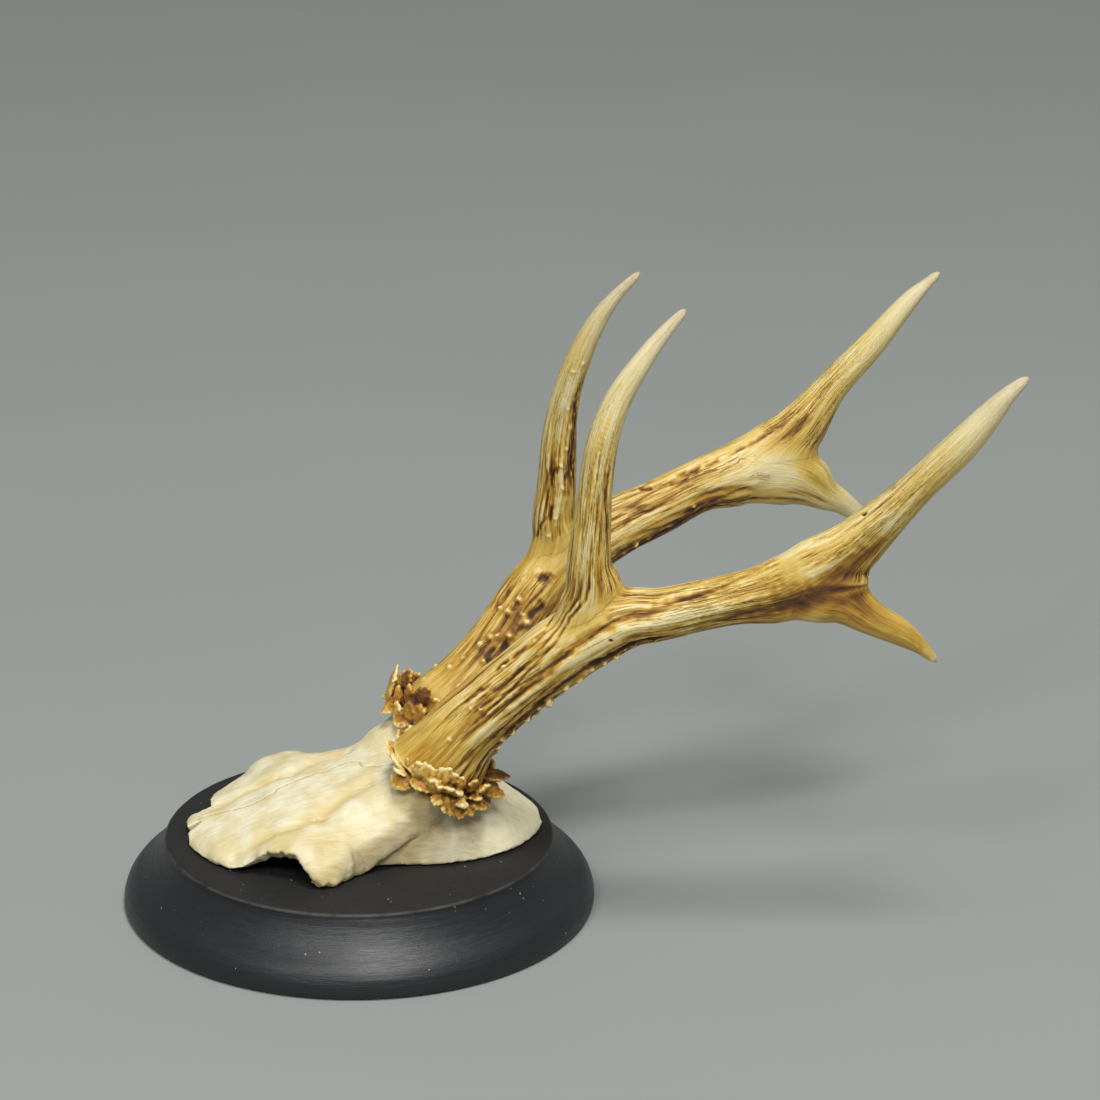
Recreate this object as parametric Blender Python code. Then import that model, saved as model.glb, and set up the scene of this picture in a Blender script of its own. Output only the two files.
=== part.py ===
"""A pair of roe deer antlers, grown on their sawn skull cap, on a round turned wooden plaque.

Lengths in the tables are millimetres and are turned to metres where a mesh is made. The origin is the
middle of the plaque's back, +Z points out of the plaque, the nose would lie towards -Y and the antlers
lean back towards +Y. The deer's left is +X. "Out" is the distance from the skull's middle plane.
"""
import math
import random

import bmesh
import bpy
from mathutils import Matrix, Vector

MM = 0.001
GAP = 0.3                      # clearance between neighbouring pieces
SKULL_MIDDLE_X = -2.0          # the skull cap sits this far off the plaque's centre

# ---------------------------------------------------------------- plaque, a lathe profile
PLAQUE_RADIUS = 65.0
PLAQUE_HEIGHT = 19.6
FOOT_ROUND = 1.5
SHOULDER_RADIUS = 9.0          # convex lower half of the ogee
SHOULDER_END = 55.0            # degrees above the horizontal where it turns into the cove
COVE_RADIUS = 21.0             # concave upper half of the ogee
TOP_EDGE_ROUND = 0.9
SHOULDER_STEPS = 4
COVE_STEPS = 5
PLAQUE_STEPS = 52

# ---------------------------------------------------------------- skull cap
CAP_FLOOR = PLAQUE_HEIGHT + GAP
BONE = 2.8                     # thickness of the frontal bone and braincase
# Sections from nose to nape: y, half width at the floor, height of the middle line above the floor,
# fullness of the arch (1 a straight roof, 2 an ellipse, more a flat top).
CAP_SECTIONS = (
    (-47.3, 7.0, 2.4, 2.0),
    (-44.6, 14.0, 3.6, 2.0),
    (-40.5, 20.4, 5.2, 2.0),
    (-36.0, 24.5, 6.6, 2.3),
    (-30.0, 29.8, 8.6, 2.8),
    (-24.0, 34.2, 11.2, 2.9),
    (-18.5, 37.2, 14.0, 2.5),
    (-14.3, 38.6, 15.3, 1.9),
    (-11.0, 37.8, 16.0, 1.9),
    (-6.5, 35.0, 17.2, 2.0),
    (-2.0, 31.0, 18.5, 2.1),
    (3.0, 27.6, 20.2, 2.1),
    (10.0, 27.0, 21.4, 2.0),
    (20.0, 27.4, 20.2, 2.0),
    (30.0, 25.2, 15.6, 2.0),
    (37.0, 22.0, 11.4, 2.0),
    (43.0, 17.4, 7.4, 2.1),
    (47.0, 12.2, 4.2, 2.2),
    (50.6, 5.0, 1.6, 2.4),
)
CAP_ARCH_STEPS = 20
HOLLOW_ENDS = 2                        # sections at each end of the cap that stay solid
SOCKET_CENTRE = (37.5, -25.6, 16.6)    # roof of the eye socket, cut as part of an egg: out, y, z
SOCKET_RADII = (16.0, 10.0, 11.2)
SOCKET_DETAIL = 3
NOSE_NOTCH = (-3.5, -47.8)             # small gap beside the nasal tongue: x, y
NOSE_NOTCH_RADIUS = 2.0
NOSE_NOTCH_SIDES = 10
NOSE_STEP = (-9.0, -40.8)              # the right nasal corner is broken off square: x, y
CUTTER_REACH = 60.0                    # cutting blocks reach this far past what they cut

# Pedicle columns and the buttresses that fan out from them to the rear corner of the eye socket:
# out, y, z, half width fore and aft, half width sideways.
PEDICLES = {
    "left": (
        (13.0, 4.0, 26.0, 10.6, 10.8),
        (14.0, 10.0, 30.5, 10.0, 11.0),
        (14.9, 15.8, 35.4, 9.8, 11.0),
        (16.3, 24.0, 46.6, 9.8, 10.6),
    ),
    "right": (
        (13.0, 4.0, 29.0, 10.6, 10.6),
        (14.2, 10.5, 34.2, 9.8, 10.8),
        (15.3, 17.0, 39.4, 9.4, 10.8),
        (17.0, 26.0, 51.4, 9.4, 10.4),
    ),
}
BUTTRESS = (
    (29.5, -9.0, 18.6, 5.0, 5.6),
    (26.0, -3.0, 22.2, 6.0, 7.4),
    (21.5, 5.5, 28.0, 7.0, 8.6),
    (17.5, 14.0, 36.0, 8.4, 9.0),
)
PEDICLE_RING_SPACING = 5.0
PEDICLE_SIDES = 16

# ---------------------------------------------------------------- antlers
# Rows of out, y, z, half width in the antler's plane, half thickness across it.
LEFT_BEAM = (
    (16.5, 21.5, 46.0, 10.4, 10.6),
    (18.0, 29.0, 57.0, 10.0, 10.0),
    (21.0, 42.0, 69.7, 9.2, 9.4),
    (25.0, 54.8, 81.3, 9.7, 9.2),
    (29.0, 67.6, 89.5, 8.4, 8.4),
    (31.5, 77.9, 91.6, 7.1, 7.4),
    (33.5, 88.3, 94.3, 6.7, 7.0),
    (35.5, 98.6, 96.8, 7.1, 6.6),
    (37.0, 109.5, 99.2, 9.2, 6.2),
    (39.0, 119.9, 105.2, 9.9, 5.8),
    (41.0, 129.3, 113.6, 7.3, 5.4),
    (44.0, 141.5, 127.3, 4.9, 4.7),
    (47.0, 153.6, 140.8, 4.5, 4.0),
    (48.0, 160.4, 149.1, 3.5, 3.2),
    (49.0, 164.6, 154.7, 2.3, 2.2),
    (49.5, 170.3, 160.1, 0.7, 0.7),
)
LEFT_BROW = (
    (27.0, 60.5, 88.0, 10.0, 6.0),
    (28.2, 60.6, 98.0, 9.0, 6.0),
    (28.4, 59.6, 101.0, 7.3, 5.9),
    (28.5, 59.2, 104.5, 6.2, 5.7),
    (28.5, 59.3, 109.0, 5.6, 5.5),
    (28.5, 59.9, 117.9, 5.0, 5.0),
    (28.0, 60.9, 128.8, 4.5, 4.6),
    (27.5, 62.7, 139.7, 4.2, 4.2),
    (26.0, 66.7, 150.0, 3.6, 3.6),
    (25.0, 72.0, 158.3, 2.9, 2.9),
    (23.5, 78.0, 165.8, 2.1, 2.1),
    (22.0, 85.0, 173.0, 0.6, 0.6),
)
LEFT_REAR = (
    (38.0, 110.0, 101.0, 8.4, 5.0),
    (39.2, 117.5, 98.6, 8.2, 5.2),
    (40.4, 125.2, 97.2, 7.0, 4.8),
    (41.5, 132.6, 92.2, 4.8, 4.3),
    (42.5, 140.7, 87.9, 3.7, 3.5),
    (43.0, 146.1, 83.9, 2.2, 2.2),
    (43.5, 150.8, 79.3, 0.7, 0.7),
)
RIGHT_BEAM = (
    (16.5, 22.4, 46.7, 9.2, 10.2),
    (18.0, 30.4, 53.3, 8.5, 9.6),
    (20.0, 37.9, 60.0, 8.7, 9.2),
    (23.0, 46.3, 68.8, 9.2, 9.2),
    (26.0, 53.7, 77.7, 9.5, 9.2),
    (29.0, 62.5, 86.4, 9.2, 8.6),
    (32.0, 75.6, 93.3, 8.4, 7.8),
    (34.0, 88.6, 98.4, 7.9, 7.0),
    (35.5, 100.1, 103.4, 7.6, 6.6),
    (37.5, 112.4, 106.2, 9.6, 6.2),
    (39.0, 122.2, 111.0, 9.9, 5.8),
    (40.5, 129.9, 118.4, 7.3, 5.4),
    (43.0, 138.3, 128.6, 4.7, 4.7),
    (45.5, 149.9, 139.9, 3.9, 3.9),
    (48.0, 160.6, 151.3, 2.7, 2.7),
    (49.0, 165.6, 155.8, 1.7, 1.7),
    (49.5, 169.8, 159.4, 0.6, 0.6),
)
RIGHT_BROW = (
    (27.0, 59.0, 82.0, 10.0, 6.0),
    (28.0, 59.4, 91.5, 9.0, 6.2),
    (28.3, 58.2, 95.0, 7.2, 6.0),
    (28.5, 57.8, 99.0, 6.0, 5.8),
    (28.5, 58.6, 109.2, 5.3, 5.4),
    (28.0, 59.0, 121.1, 4.9, 4.9),
    (27.0, 60.4, 132.9, 4.1, 4.3),
    (25.5, 63.6, 144.8, 3.5, 3.7),
    (24.0, 68.8, 156.5, 2.6, 2.7),
    (23.0, 74.0, 164.0, 1.7, 1.7),
    (22.0, 79.9, 170.3, 0.5, 0.5),
)
RIGHT_REAR = (
    (38.0, 110.0, 107.0, 8.2, 5.0),
    (39.4, 118.5, 106.0, 7.8, 5.2),
    (41.0, 127.5, 104.0, 6.8, 4.8),
    (42.0, 135.8, 99.6, 5.2, 4.4),
    (43.0, 144.4, 92.4, 3.7, 3.5),
    (43.6, 149.6, 87.4, 2.4, 2.3),
    (44.0, 154.3, 82.6, 0.7, 0.7),
)
RING_SPACING = 6.0             # along an antler
TINE_RING_SPACING = 5.5
BEAM_SIDES = 18
TINE_SIDES = 12
RIDGE_HEIGHT = 0.35            # every second side of a beam stands out by this much
SMOOTH_TIP = 12.0              # no ridges this near a tip
POLISHED_LENGTH = 45.0         # the ridges fade out over this stretch before the smooth tip

# Burr: a lobed ring that slopes down and outwards round the foot of each beam.
BURR_CENTRE_LEFT = (15.8, 22.0, 43.6)
BURR_AXIS_LEFT = (0.18, 0.30, 0.94)
BURR_CENTRE_RIGHT = (16.6, 24.2, 48.4)
BURR_AXIS_RIGHT = (0.02, 0.32, 0.945)
BURR_INNER = 9.0
BURR_OUTER = 16.4
BURR_HEIGHT = 7.4
BURR_TOP_EDGE = 1.3            # height of the burr's inner edge, hidden in the beam's foot
BURR_FLOOR = 1.9               # the beam's foot ends this far below the middle of its burr
BURR_LOBES = 13
LOBE_DEPTH = 2.6
LOBE_WIDTHS = (0.6, 1.5)       # narrowest and widest share of the way round
LOBE_REACHES = (0.35, 1.0)     # how much of the depth the shortest and longest lobe fill
LOBE_RISES = (0.3, 1.0)
LOBE_VALLEY = 0.35             # height between two lobes as a share of half the burr's height
LOBE_CREST = 0.9               # what the highest lobe adds to that
LOBE_LEAN = 0.6                # the rim leans in this far
LOBE_SHOULDER = (2.8, 0.5)     # the highest line is this far in and this far above the rim
LOBE_UNDERCUT = 2.0            # the flat underside ends this far in
STEPS_PER_LOBE = 4
LEFT_BURR_SEED = 11
RIGHT_BURR_SEED = 23
DRUM_RADIUS = 24.0             # drums that clear the space above a pedicle and below a burr
DRUM_HEIGHT = 20.0
DRUM_SIDES = 32

# Pearls: how far along the beam (0 burr, 1 tip), how far round it (degrees, 0 towards the nose,
# 90 towards the middle plane, 180 to the rear), radius.
LEFT_PEARLS = (
    (0.030, 168, 2.1), (0.052, 200, 1.8), (0.072, 216, 1.7), (0.087, 226, 1.6), (0.102, 222, 1.7),
    (0.133, 219, 1.7), (0.175, 222, 2.1), (0.205, 220, 1.5), (0.233, 220, 1.7), (0.263, 228, 1.4),
    (0.302, 221, 1.5), (0.125, 150, 1.4), (0.180, 140, 1.3),
)
RIGHT_PEARLS = (
    (0.108, 43, 1.7), (0.126, 49, 1.6), (0.143, 74, 1.5), (0.094, 67, 1.4), (0.173, 49, 1.7),
    (0.177, 86, 1.6), (0.197, 52, 1.6), (0.245, 49, 1.6), (0.386, 127, 1.6), (0.060, 165, 1.9),
    (0.100, 175, 1.7), (0.140, 182, 1.6), (0.200, 180, 1.5),
)
PEARL_SPACING = 1.0            # the beam's line is read this finely to set the pearls
PEARL_DETAIL = 1


# ---------------------------------------------------------------- base colours
PAINT_BLACK = (0.014, 0.015, 0.017)
BONE_CREAM = (0.76, 0.66, 0.46)
ANTLER_BROWN = (0.45, 0.27, 0.10)


def clear_scene():
    for item in list(bpy.data.objects):
        bpy.data.objects.remove(item, do_unlink=True)


def make_material(name, colour, roughness):
    material = bpy.data.materials.new(name)
    material.use_nodes = True
    shader = material.node_tree.nodes["Principled BSDF"]
    shader.inputs["Base Color"].default_value = (*colour, 1.0)
    shader.inputs["Roughness"].default_value = roughness
    shader.inputs["Metallic"].default_value = 0.0
    return material


def make_object(name, mesh_data, material=None, smooth_angle=50.0):
    """Turn a bmesh in millimetres into a named object in metres."""
    bmesh.ops.remove_doubles(mesh_data, verts=mesh_data.verts, dist=0.001)
    bmesh.ops.recalc_face_normals(mesh_data, faces=mesh_data.faces)
    bmesh.ops.scale(mesh_data, vec=(MM, MM, MM), verts=mesh_data.verts)
    mesh = bpy.data.meshes.new(name)
    mesh_data.to_mesh(mesh)
    mesh_data.free()
    item = bpy.data.objects.new(name, mesh)
    bpy.context.scene.collection.objects.link(item)
    if material is not None:
        mesh.materials.append(material)
    mesh.shade_smooth()
    mesh.set_sharp_from_angle(angle=math.radians(smooth_angle))
    return item


def make_cutter(name, mesh_data):
    item = make_object(name, mesh_data)
    item.hide_render = True
    item.display_type = "WIRE"
    return item


def add_boolean(item, operation, other):
    modifier = item.modifiers.new(f"{operation.title()} {other.name}", "BOOLEAN")
    modifier.operation = operation
    modifier.solver = "EXACT"
    modifier.object = other
    return modifier


def bridge_rings(mesh_data, rings):
    """Skin closed rings of vertices, each as long as the next, with quads."""
    for ring, following in zip(rings, rings[1:]):
        count = len(ring)
        for index in range(count):
            after = (index + 1) % count
            mesh_data.faces.new((ring[index], ring[after], following[after], following[index]))


# ---------------------------------------------------------------- curves through the rows
def spline(values, position):
    """Catmull-Rom value of a list of equal tuples at a position counted in rows."""
    last = len(values) - 1
    row = min(int(position), last - 1)
    part = position - row
    before = values[max(row - 1, 0)]
    start = values[row]
    end = values[row + 1]
    after = values[min(row + 2, last)]
    result = []
    for a, b, c, d in zip(before, start, end, after):
        slope_in = (c - a) / 2
        slope_out = (d - b) / 2
        cubic = 2 * b - 2 * c + slope_in + slope_out
        square = 3 * c - 3 * b - 2 * slope_in - slope_out
        result.append(((cubic * part + square) * part + slope_in) * part + b)
    return tuple(result)


def even_rows(rows, spacing):
    """Rows read from a smooth curve through the given ones, about evenly spaced along it."""
    fine = [spline(rows, index / 40) for index in range(40 * (len(rows) - 1) + 1)]
    travelled = [0.0]
    for row, following in zip(fine, fine[1:]):
        travelled.append(travelled[-1] + math.dist(row[:3], following[:3]))
    count = max(2, round(travelled[-1] / spacing))
    chosen = []
    index = 0
    for step in range(count + 1):
        target = travelled[-1] * step / count
        while index < len(fine) - 1 and travelled[index] < target - 1e-9:
            index += 1
        chosen.append((*fine[index], travelled[index]))
    return chosen, travelled[-1]


def ring_frames(rows):
    """Centre, direction fore-and-aft and direction sideways of each ring."""
    frames = []
    points = [Vector(row[:3]) for row in rows]
    for index, point in enumerate(points):
        before = points[max(index - 1, 0)]
        after = points[min(index + 1, len(points) - 1)]
        along = (after - before).normalized()
        forward = Vector((1, 0, 0)).cross(along).normalized()
        sideways = along.cross(forward).normalized()
        frames.append((point, forward, sideways))
    return frames


def sweep(rows, spacing, sides, ridge=0.0, swell=0.0):
    """A solid branch: elliptical rings along a curve, ridged lengthwise, closed at both ends."""
    chosen, length = even_rows(rows, spacing)
    mesh_data = bmesh.new()
    rings = []
    for row, (point, forward, sideways) in zip(chosen, ring_frames(chosen)):
        half_width, half_thick, travelled = row[3:]
        fade = min(1.0, max(0.0, (length - travelled - SMOOTH_TIP) / POLISHED_LENGTH))
        ring = []
        for index in range(sides):
            angle = math.tau * index / sides
            lift = swell + ridge * fade * (1 if index % 2 else -1)
            offset = forward * (half_width + lift) * math.cos(angle)
            offset += sideways * (half_thick + lift) * math.sin(angle)
            ring.append(mesh_data.verts.new(point + offset))
        rings.append(ring)
    bridge_rings(mesh_data, rings)
    mesh_data.faces.new(rings[0])
    mesh_data.faces.new(rings[-1])
    return mesh_data


def place_side(mesh_data, side):
    """Move a piece built on the deer's left to its side of the skull's middle plane."""
    for vertex in mesh_data.verts:
        vertex.co.x = SKULL_MIDDLE_X + side * vertex.co.x
    return mesh_data


# ---------------------------------------------------------------- plaque
def plaque_profile():
    """Radius and height from the middle of the back, round the ogee, to the middle of the top."""
    profile = [(0.0, 0.0)]
    foot = PLAQUE_RADIUS - FOOT_ROUND
    for angle in (-90, -45):
        turn = math.radians(angle)
        profile.append((foot + FOOT_ROUND * math.cos(turn), FOOT_ROUND * (1 + math.sin(turn))))
    shoulder = PLAQUE_RADIUS - SHOULDER_RADIUS
    for step in range(SHOULDER_STEPS + 1):
        turn = math.radians(SHOULDER_END * step / SHOULDER_STEPS)
        radius = shoulder + SHOULDER_RADIUS * math.cos(turn)
        profile.append((radius, FOOT_ROUND + SHOULDER_RADIUS * math.sin(turn)))
    radius, height = profile[-1]
    bend = math.radians(SHOULDER_END)
    cove = (radius + COVE_RADIUS * math.cos(bend), height + COVE_RADIUS * math.sin(bend))
    cove_top = PLAQUE_HEIGHT - TOP_EDGE_ROUND
    end = math.asin((cove[1] - cove_top) / COVE_RADIUS)
    for step in range(1, COVE_STEPS + 1):
        turn = bend + (end - bend) * step / COVE_STEPS
        profile.append((cove[0] - COVE_RADIUS * math.cos(turn), cove[1] - COVE_RADIUS * math.sin(turn)))
    top_radius = profile[-1][0] - TOP_EDGE_ROUND
    for angle in (45, 90):
        turn = math.radians(angle)
        radius = top_radius + TOP_EDGE_ROUND * math.cos(turn)
        profile.append((radius, cove_top + TOP_EDGE_ROUND * math.sin(turn)))
    profile.append((0.0, PLAQUE_HEIGHT))
    return profile


def build_plaque(material):
    mesh_data = bmesh.new()
    line = [mesh_data.verts.new((radius, 0, height)) for radius, height in plaque_profile()]
    edges = [mesh_data.edges.new(pair) for pair in zip(line, line[1:])]
    bmesh.ops.spin(
        mesh_data, geom=line + edges, cent=(0, 0, 0), axis=(0, 0, 1), dvec=(0, 0, 0),
        angle=math.tau, steps=PLAQUE_STEPS, use_merge=True,
    )
    return make_object("plaque", mesh_data, material, smooth_angle=30.0)


# ---------------------------------------------------------------- skull cap
def cap_shell(inset, floor, first, last):
    """The arch of the skull cap, pulled in by inset, closed by a flat floor."""
    mesh_data = bmesh.new()
    rings = []
    for y, half_width, height, fullness in CAP_SECTIONS[first:last]:
        half_width -= inset
        height -= inset
        ring = []
        for step in range(CAP_ARCH_STEPS + 1):
            angle = math.pi * step / CAP_ARCH_STEPS
            across = math.copysign(abs(math.cos(angle)) ** (2 / fullness), math.cos(angle))
            up = math.sin(angle) ** (2 / fullness)
            level = CAP_FLOOR + height * up
            if step in (0, CAP_ARCH_STEPS):
                level = floor
            position = (SKULL_MIDDLE_X + half_width * across, y, level)
            ring.append(mesh_data.verts.new(position))
        rings.append(ring)
    bridge_rings(mesh_data, rings)
    mesh_data.faces.new(rings[0])
    mesh_data.faces.new(rings[-1])
    return mesh_data


def block(low, high):
    mesh_data = bmesh.new()
    bmesh.ops.create_cube(mesh_data, size=1.0)
    size = [top - bottom for bottom, top in zip(low, high)]
    middle = [(top + bottom) / 2 for bottom, top in zip(low, high)]
    bmesh.ops.scale(mesh_data, vec=size, verts=mesh_data.verts)
    bmesh.ops.translate(mesh_data, vec=middle, verts=mesh_data.verts)
    return mesh_data


def drum(radius, height, segments):
    mesh_data = bmesh.new()
    bmesh.ops.create_cone(
        mesh_data, cap_ends=True, segments=segments, radius1=radius, radius2=radius, depth=height,
    )
    return mesh_data


def egg(centre, radii, subdivisions):
    mesh_data = bmesh.new()
    bmesh.ops.create_icosphere(mesh_data, subdivisions=subdivisions, radius=1.0)
    bmesh.ops.scale(mesh_data, vec=radii, verts=mesh_data.verts)
    bmesh.ops.translate(mesh_data, vec=centre, verts=mesh_data.verts)
    return mesh_data


def build_skull_cap(material):
    cap = make_object("skull_cap", cap_shell(0.0, CAP_FLOOR, 0, len(CAP_SECTIONS)), material)
    for side, word in ((1, "left"), (-1, "right")):
        for rows, part in ((PEDICLES[word], "pedicle"), (BUTTRESS, "buttress")):
            body = place_side(sweep(rows, PEDICLE_RING_SPACING, PEDICLE_SIDES), side)
            add_boolean(cap, "UNION", make_cutter(f"{word} {part}", body))
    notch = drum(NOSE_NOTCH_RADIUS, CUTTER_REACH, NOSE_NOTCH_SIDES)
    bmesh.ops.translate(notch, vec=(*NOSE_NOTCH, CAP_FLOOR), verts=notch.verts)
    add_boolean(cap, "DIFFERENCE", make_cutter("nose notch", notch))
    beyond = (NOSE_STEP[0] - CUTTER_REACH, NOSE_STEP[1] - CUTTER_REACH, -CUTTER_REACH)
    step = block(beyond, (*NOSE_STEP, CUTTER_REACH))
    add_boolean(cap, "DIFFERENCE", make_cutter("nose step", step))
    hollow = cap_shell(BONE, CAP_FLOOR - BONE, HOLLOW_ENDS, len(CAP_SECTIONS) - HOLLOW_ENDS)
    add_boolean(cap, "DIFFERENCE", make_cutter("brain hollow", hollow))
    below = block((-CUTTER_REACH, -CUTTER_REACH, -CUTTER_REACH), (CUTTER_REACH, CUTTER_REACH, CAP_FLOOR))
    add_boolean(cap, "DIFFERENCE", make_cutter("saw cut", below))
    for side, word in ((1, "left"), (-1, "right")):
        socket = place_side(egg(SOCKET_CENTRE, SOCKET_RADII, SOCKET_DETAIL), side)
        add_boolean(cap, "DIFFERENCE", make_cutter(f"{word} eye socket", socket))
        above = burr_drum(word, (DRUM_HEIGHT - BURR_HEIGHT) / 2 - GAP)
        add_boolean(cap, "DIFFERENCE", make_cutter(f"{word} burr bed", place_side(above, side)))
    return cap


# ---------------------------------------------------------------- antlers
BURRS = {
    "left": (BURR_CENTRE_LEFT, BURR_AXIS_LEFT),
    "right": (BURR_CENTRE_RIGHT, BURR_AXIS_RIGHT),
}


def burr_turn(word):
    centre, axis = BURRS[word]
    turn = Vector((0, 0, 1)).rotation_difference(Vector(axis)).to_matrix().to_4x4()
    return Matrix.Translation(Vector(centre)) @ turn


def burr_drum(word, middle):
    """A wide drum on a burr's axis, its middle this far above the middle of the burr."""
    mesh_data = drum(DRUM_RADIUS, DRUM_HEIGHT, DRUM_SIDES)
    bmesh.ops.translate(mesh_data, vec=(0, 0, middle), verts=mesh_data.verts)
    bmesh.ops.transform(mesh_data, matrix=burr_turn(word), verts=mesh_data.verts)
    return mesh_data


def burr_disc(word, seed):
    """A thick disc with rounded lobes of uneven size, flat below."""
    shuffle = random.Random(seed)
    reach = [shuffle.uniform(*LOBE_REACHES) for _ in range(BURR_LOBES)]
    rise = [shuffle.uniform(*LOBE_RISES) for _ in range(BURR_LOBES)]
    width = [shuffle.uniform(*LOBE_WIDTHS) for _ in range(BURR_LOBES)]
    low = -BURR_HEIGHT / 2
    mesh_data = bmesh.new()
    outlines = []
    for step in range(BURR_LOBES * STEPS_PER_LOBE):
        lobe, place = divmod(step, STEPS_PER_LOBE)
        along_lobe = (place + 0.5) / STEPS_PER_LOBE
        bulge = math.sin(math.pi * along_lobe)
        outer = BURR_OUTER - LOBE_DEPTH * (1.0 - bulge * reach[lobe])
        top = BURR_HEIGHT / 2 * (LOBE_VALLEY + LOBE_CREST * rise[lobe] * bulge)
        angle = math.tau * (sum(width[:lobe]) + width[lobe] * along_lobe) / sum(width)
        outward = Vector((math.cos(angle), math.sin(angle), 0))
        profile = (
            (outer - LOBE_UNDERCUT, low), (outer, low + LOBE_UNDERCUT), (outer - LOBE_LEAN, top),
            (outer - LOBE_SHOULDER[0], top + LOBE_SHOULDER[1]), (BURR_INNER, BURR_TOP_EDGE),
        )
        corners = [outward * radius + Vector((0, 0, height)) for radius, height in profile]
        outlines.append([mesh_data.verts.new(corner) for corner in corners])
    rings = [list(ring) for ring in zip(*outlines)]
    bridge_rings(mesh_data, rings)
    mesh_data.faces.new(rings[0])
    mesh_data.faces.new(rings[-1])
    bmesh.ops.transform(mesh_data, matrix=burr_turn(word), verts=mesh_data.verts)
    return mesh_data


def pearl_bodies(rows, pearls):
    """Small round lumps that sit half sunk in the beam, one mesh for all."""
    chosen, _ = even_rows(rows, PEARL_SPACING)
    frames = ring_frames(chosen)
    mesh_data = bmesh.new()
    for along, around, radius in pearls:
        index = round(along * (len(chosen) - 1))
        point, forward, sideways = frames[index]
        half_width, half_thick = chosen[index][3:5]
        angle = math.radians(around)
        place = point + forward * half_width * math.cos(angle)
        place -= sideways * half_thick * math.sin(angle)
        made = bmesh.ops.create_icosphere(mesh_data, subdivisions=PEARL_DETAIL, radius=radius)
        bmesh.ops.translate(mesh_data, vec=place, verts=made["verts"])
    return mesh_data


def build_antler(word, side, beam_rows, brow_rows, rear_rows, pearls, seed, material):
    beam = make_object(
        f"{word}_beam",
        place_side(sweep(beam_rows, RING_SPACING, BEAM_SIDES, ridge=RIDGE_HEIGHT), side),
        material,
    )
    below = burr_drum(word, -DRUM_HEIGHT / 2 - BURR_FLOOR)
    add_boolean(beam, "DIFFERENCE", make_cutter(f"{word} beam foot", place_side(below, side)))
    burr = make_cutter(f"{word} burr disc", place_side(burr_disc(word, seed), side))
    add_boolean(beam, "UNION", burr)
    lumps = make_cutter(f"{word} pearl lumps", place_side(pearl_bodies(beam_rows, pearls), side))
    add_boolean(beam, "UNION", lumps).use_self = True
    swollen = sweep(beam_rows, RING_SPACING, BEAM_SIDES, ridge=RIDGE_HEIGHT, swell=GAP)
    clearance = make_cutter(f"{word} beam clearance", place_side(swollen, side))
    for rows, part in ((brow_rows, "brow_tine"), (rear_rows, "rear_tine")):
        body = place_side(sweep(rows, TINE_RING_SPACING, TINE_SIDES), side)
        tine = make_object(f"{word}_{part}", body, material)
        add_boolean(tine, "DIFFERENCE", clearance)


def build():
    clear_scene()
    black = make_material("black painted wood", PAINT_BLACK, 0.45)
    bone = make_material("bone", BONE_CREAM, 0.55)
    antler = make_material("antler", ANTLER_BROWN, 0.5)
    build_plaque(black)
    build_skull_cap(bone)
    build_antler("left", 1, LEFT_BEAM, LEFT_BROW, LEFT_REAR, LEFT_PEARLS, LEFT_BURR_SEED, antler)
    build_antler("right", -1, RIGHT_BEAM, RIGHT_BROW, RIGHT_REAR, RIGHT_PEARLS, RIGHT_BURR_SEED, antler)


build()
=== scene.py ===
# %% [markdown]
# # A pair of roe deer antlers on their skull cap
#
# The real object is a small hunting trophy. Two antlers grow out of the sawn top of a roe buck's skull,
# and the skull cap lies on a round turned plaque that was brushed over with black paint. The packed
# solids give every size and place. Here they get their real surface: furrows, pearls, burrs, sutures,
# saw marks and brush marks, and the colours that go with them.

# %% Load the frame
import math
import random

import bmesh
import bpy
import numpy as np
from mathutils import Matrix, Vector, kdtree, noise


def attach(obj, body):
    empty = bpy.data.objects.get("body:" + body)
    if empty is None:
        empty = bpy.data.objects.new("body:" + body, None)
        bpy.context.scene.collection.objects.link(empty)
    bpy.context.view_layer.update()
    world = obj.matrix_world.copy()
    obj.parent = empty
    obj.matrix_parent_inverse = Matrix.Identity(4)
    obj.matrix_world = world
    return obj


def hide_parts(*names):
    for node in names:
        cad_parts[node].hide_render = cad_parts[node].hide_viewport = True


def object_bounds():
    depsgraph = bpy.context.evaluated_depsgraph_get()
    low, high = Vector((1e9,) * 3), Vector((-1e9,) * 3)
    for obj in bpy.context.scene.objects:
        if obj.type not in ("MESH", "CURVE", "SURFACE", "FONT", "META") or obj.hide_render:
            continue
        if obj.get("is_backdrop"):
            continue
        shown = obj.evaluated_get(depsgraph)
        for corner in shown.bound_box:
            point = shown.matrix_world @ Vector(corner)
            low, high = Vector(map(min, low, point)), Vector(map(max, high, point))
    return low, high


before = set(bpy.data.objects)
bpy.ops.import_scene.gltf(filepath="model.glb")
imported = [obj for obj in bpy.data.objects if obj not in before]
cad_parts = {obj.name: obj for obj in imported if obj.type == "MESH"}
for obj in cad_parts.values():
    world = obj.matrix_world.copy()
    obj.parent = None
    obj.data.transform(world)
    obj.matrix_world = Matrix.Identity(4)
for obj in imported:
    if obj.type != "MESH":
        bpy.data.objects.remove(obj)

MM = 0.001
cad_low, cad_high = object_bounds()
print("CAD box in mm:", [round((high - low) / MM, 1) for low, high in zip(cad_low, cad_high)])

# %% [markdown]
# ## The camera
#
# The trophy was photographed from the deer's left, from a little above, with a long lens: far and near
# antler are almost the same size in the picture. The camera could be aimed with a Track To constraint,
# but three edge directions fix both aim and tilt exactly, so its matrix is put together from them.

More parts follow.
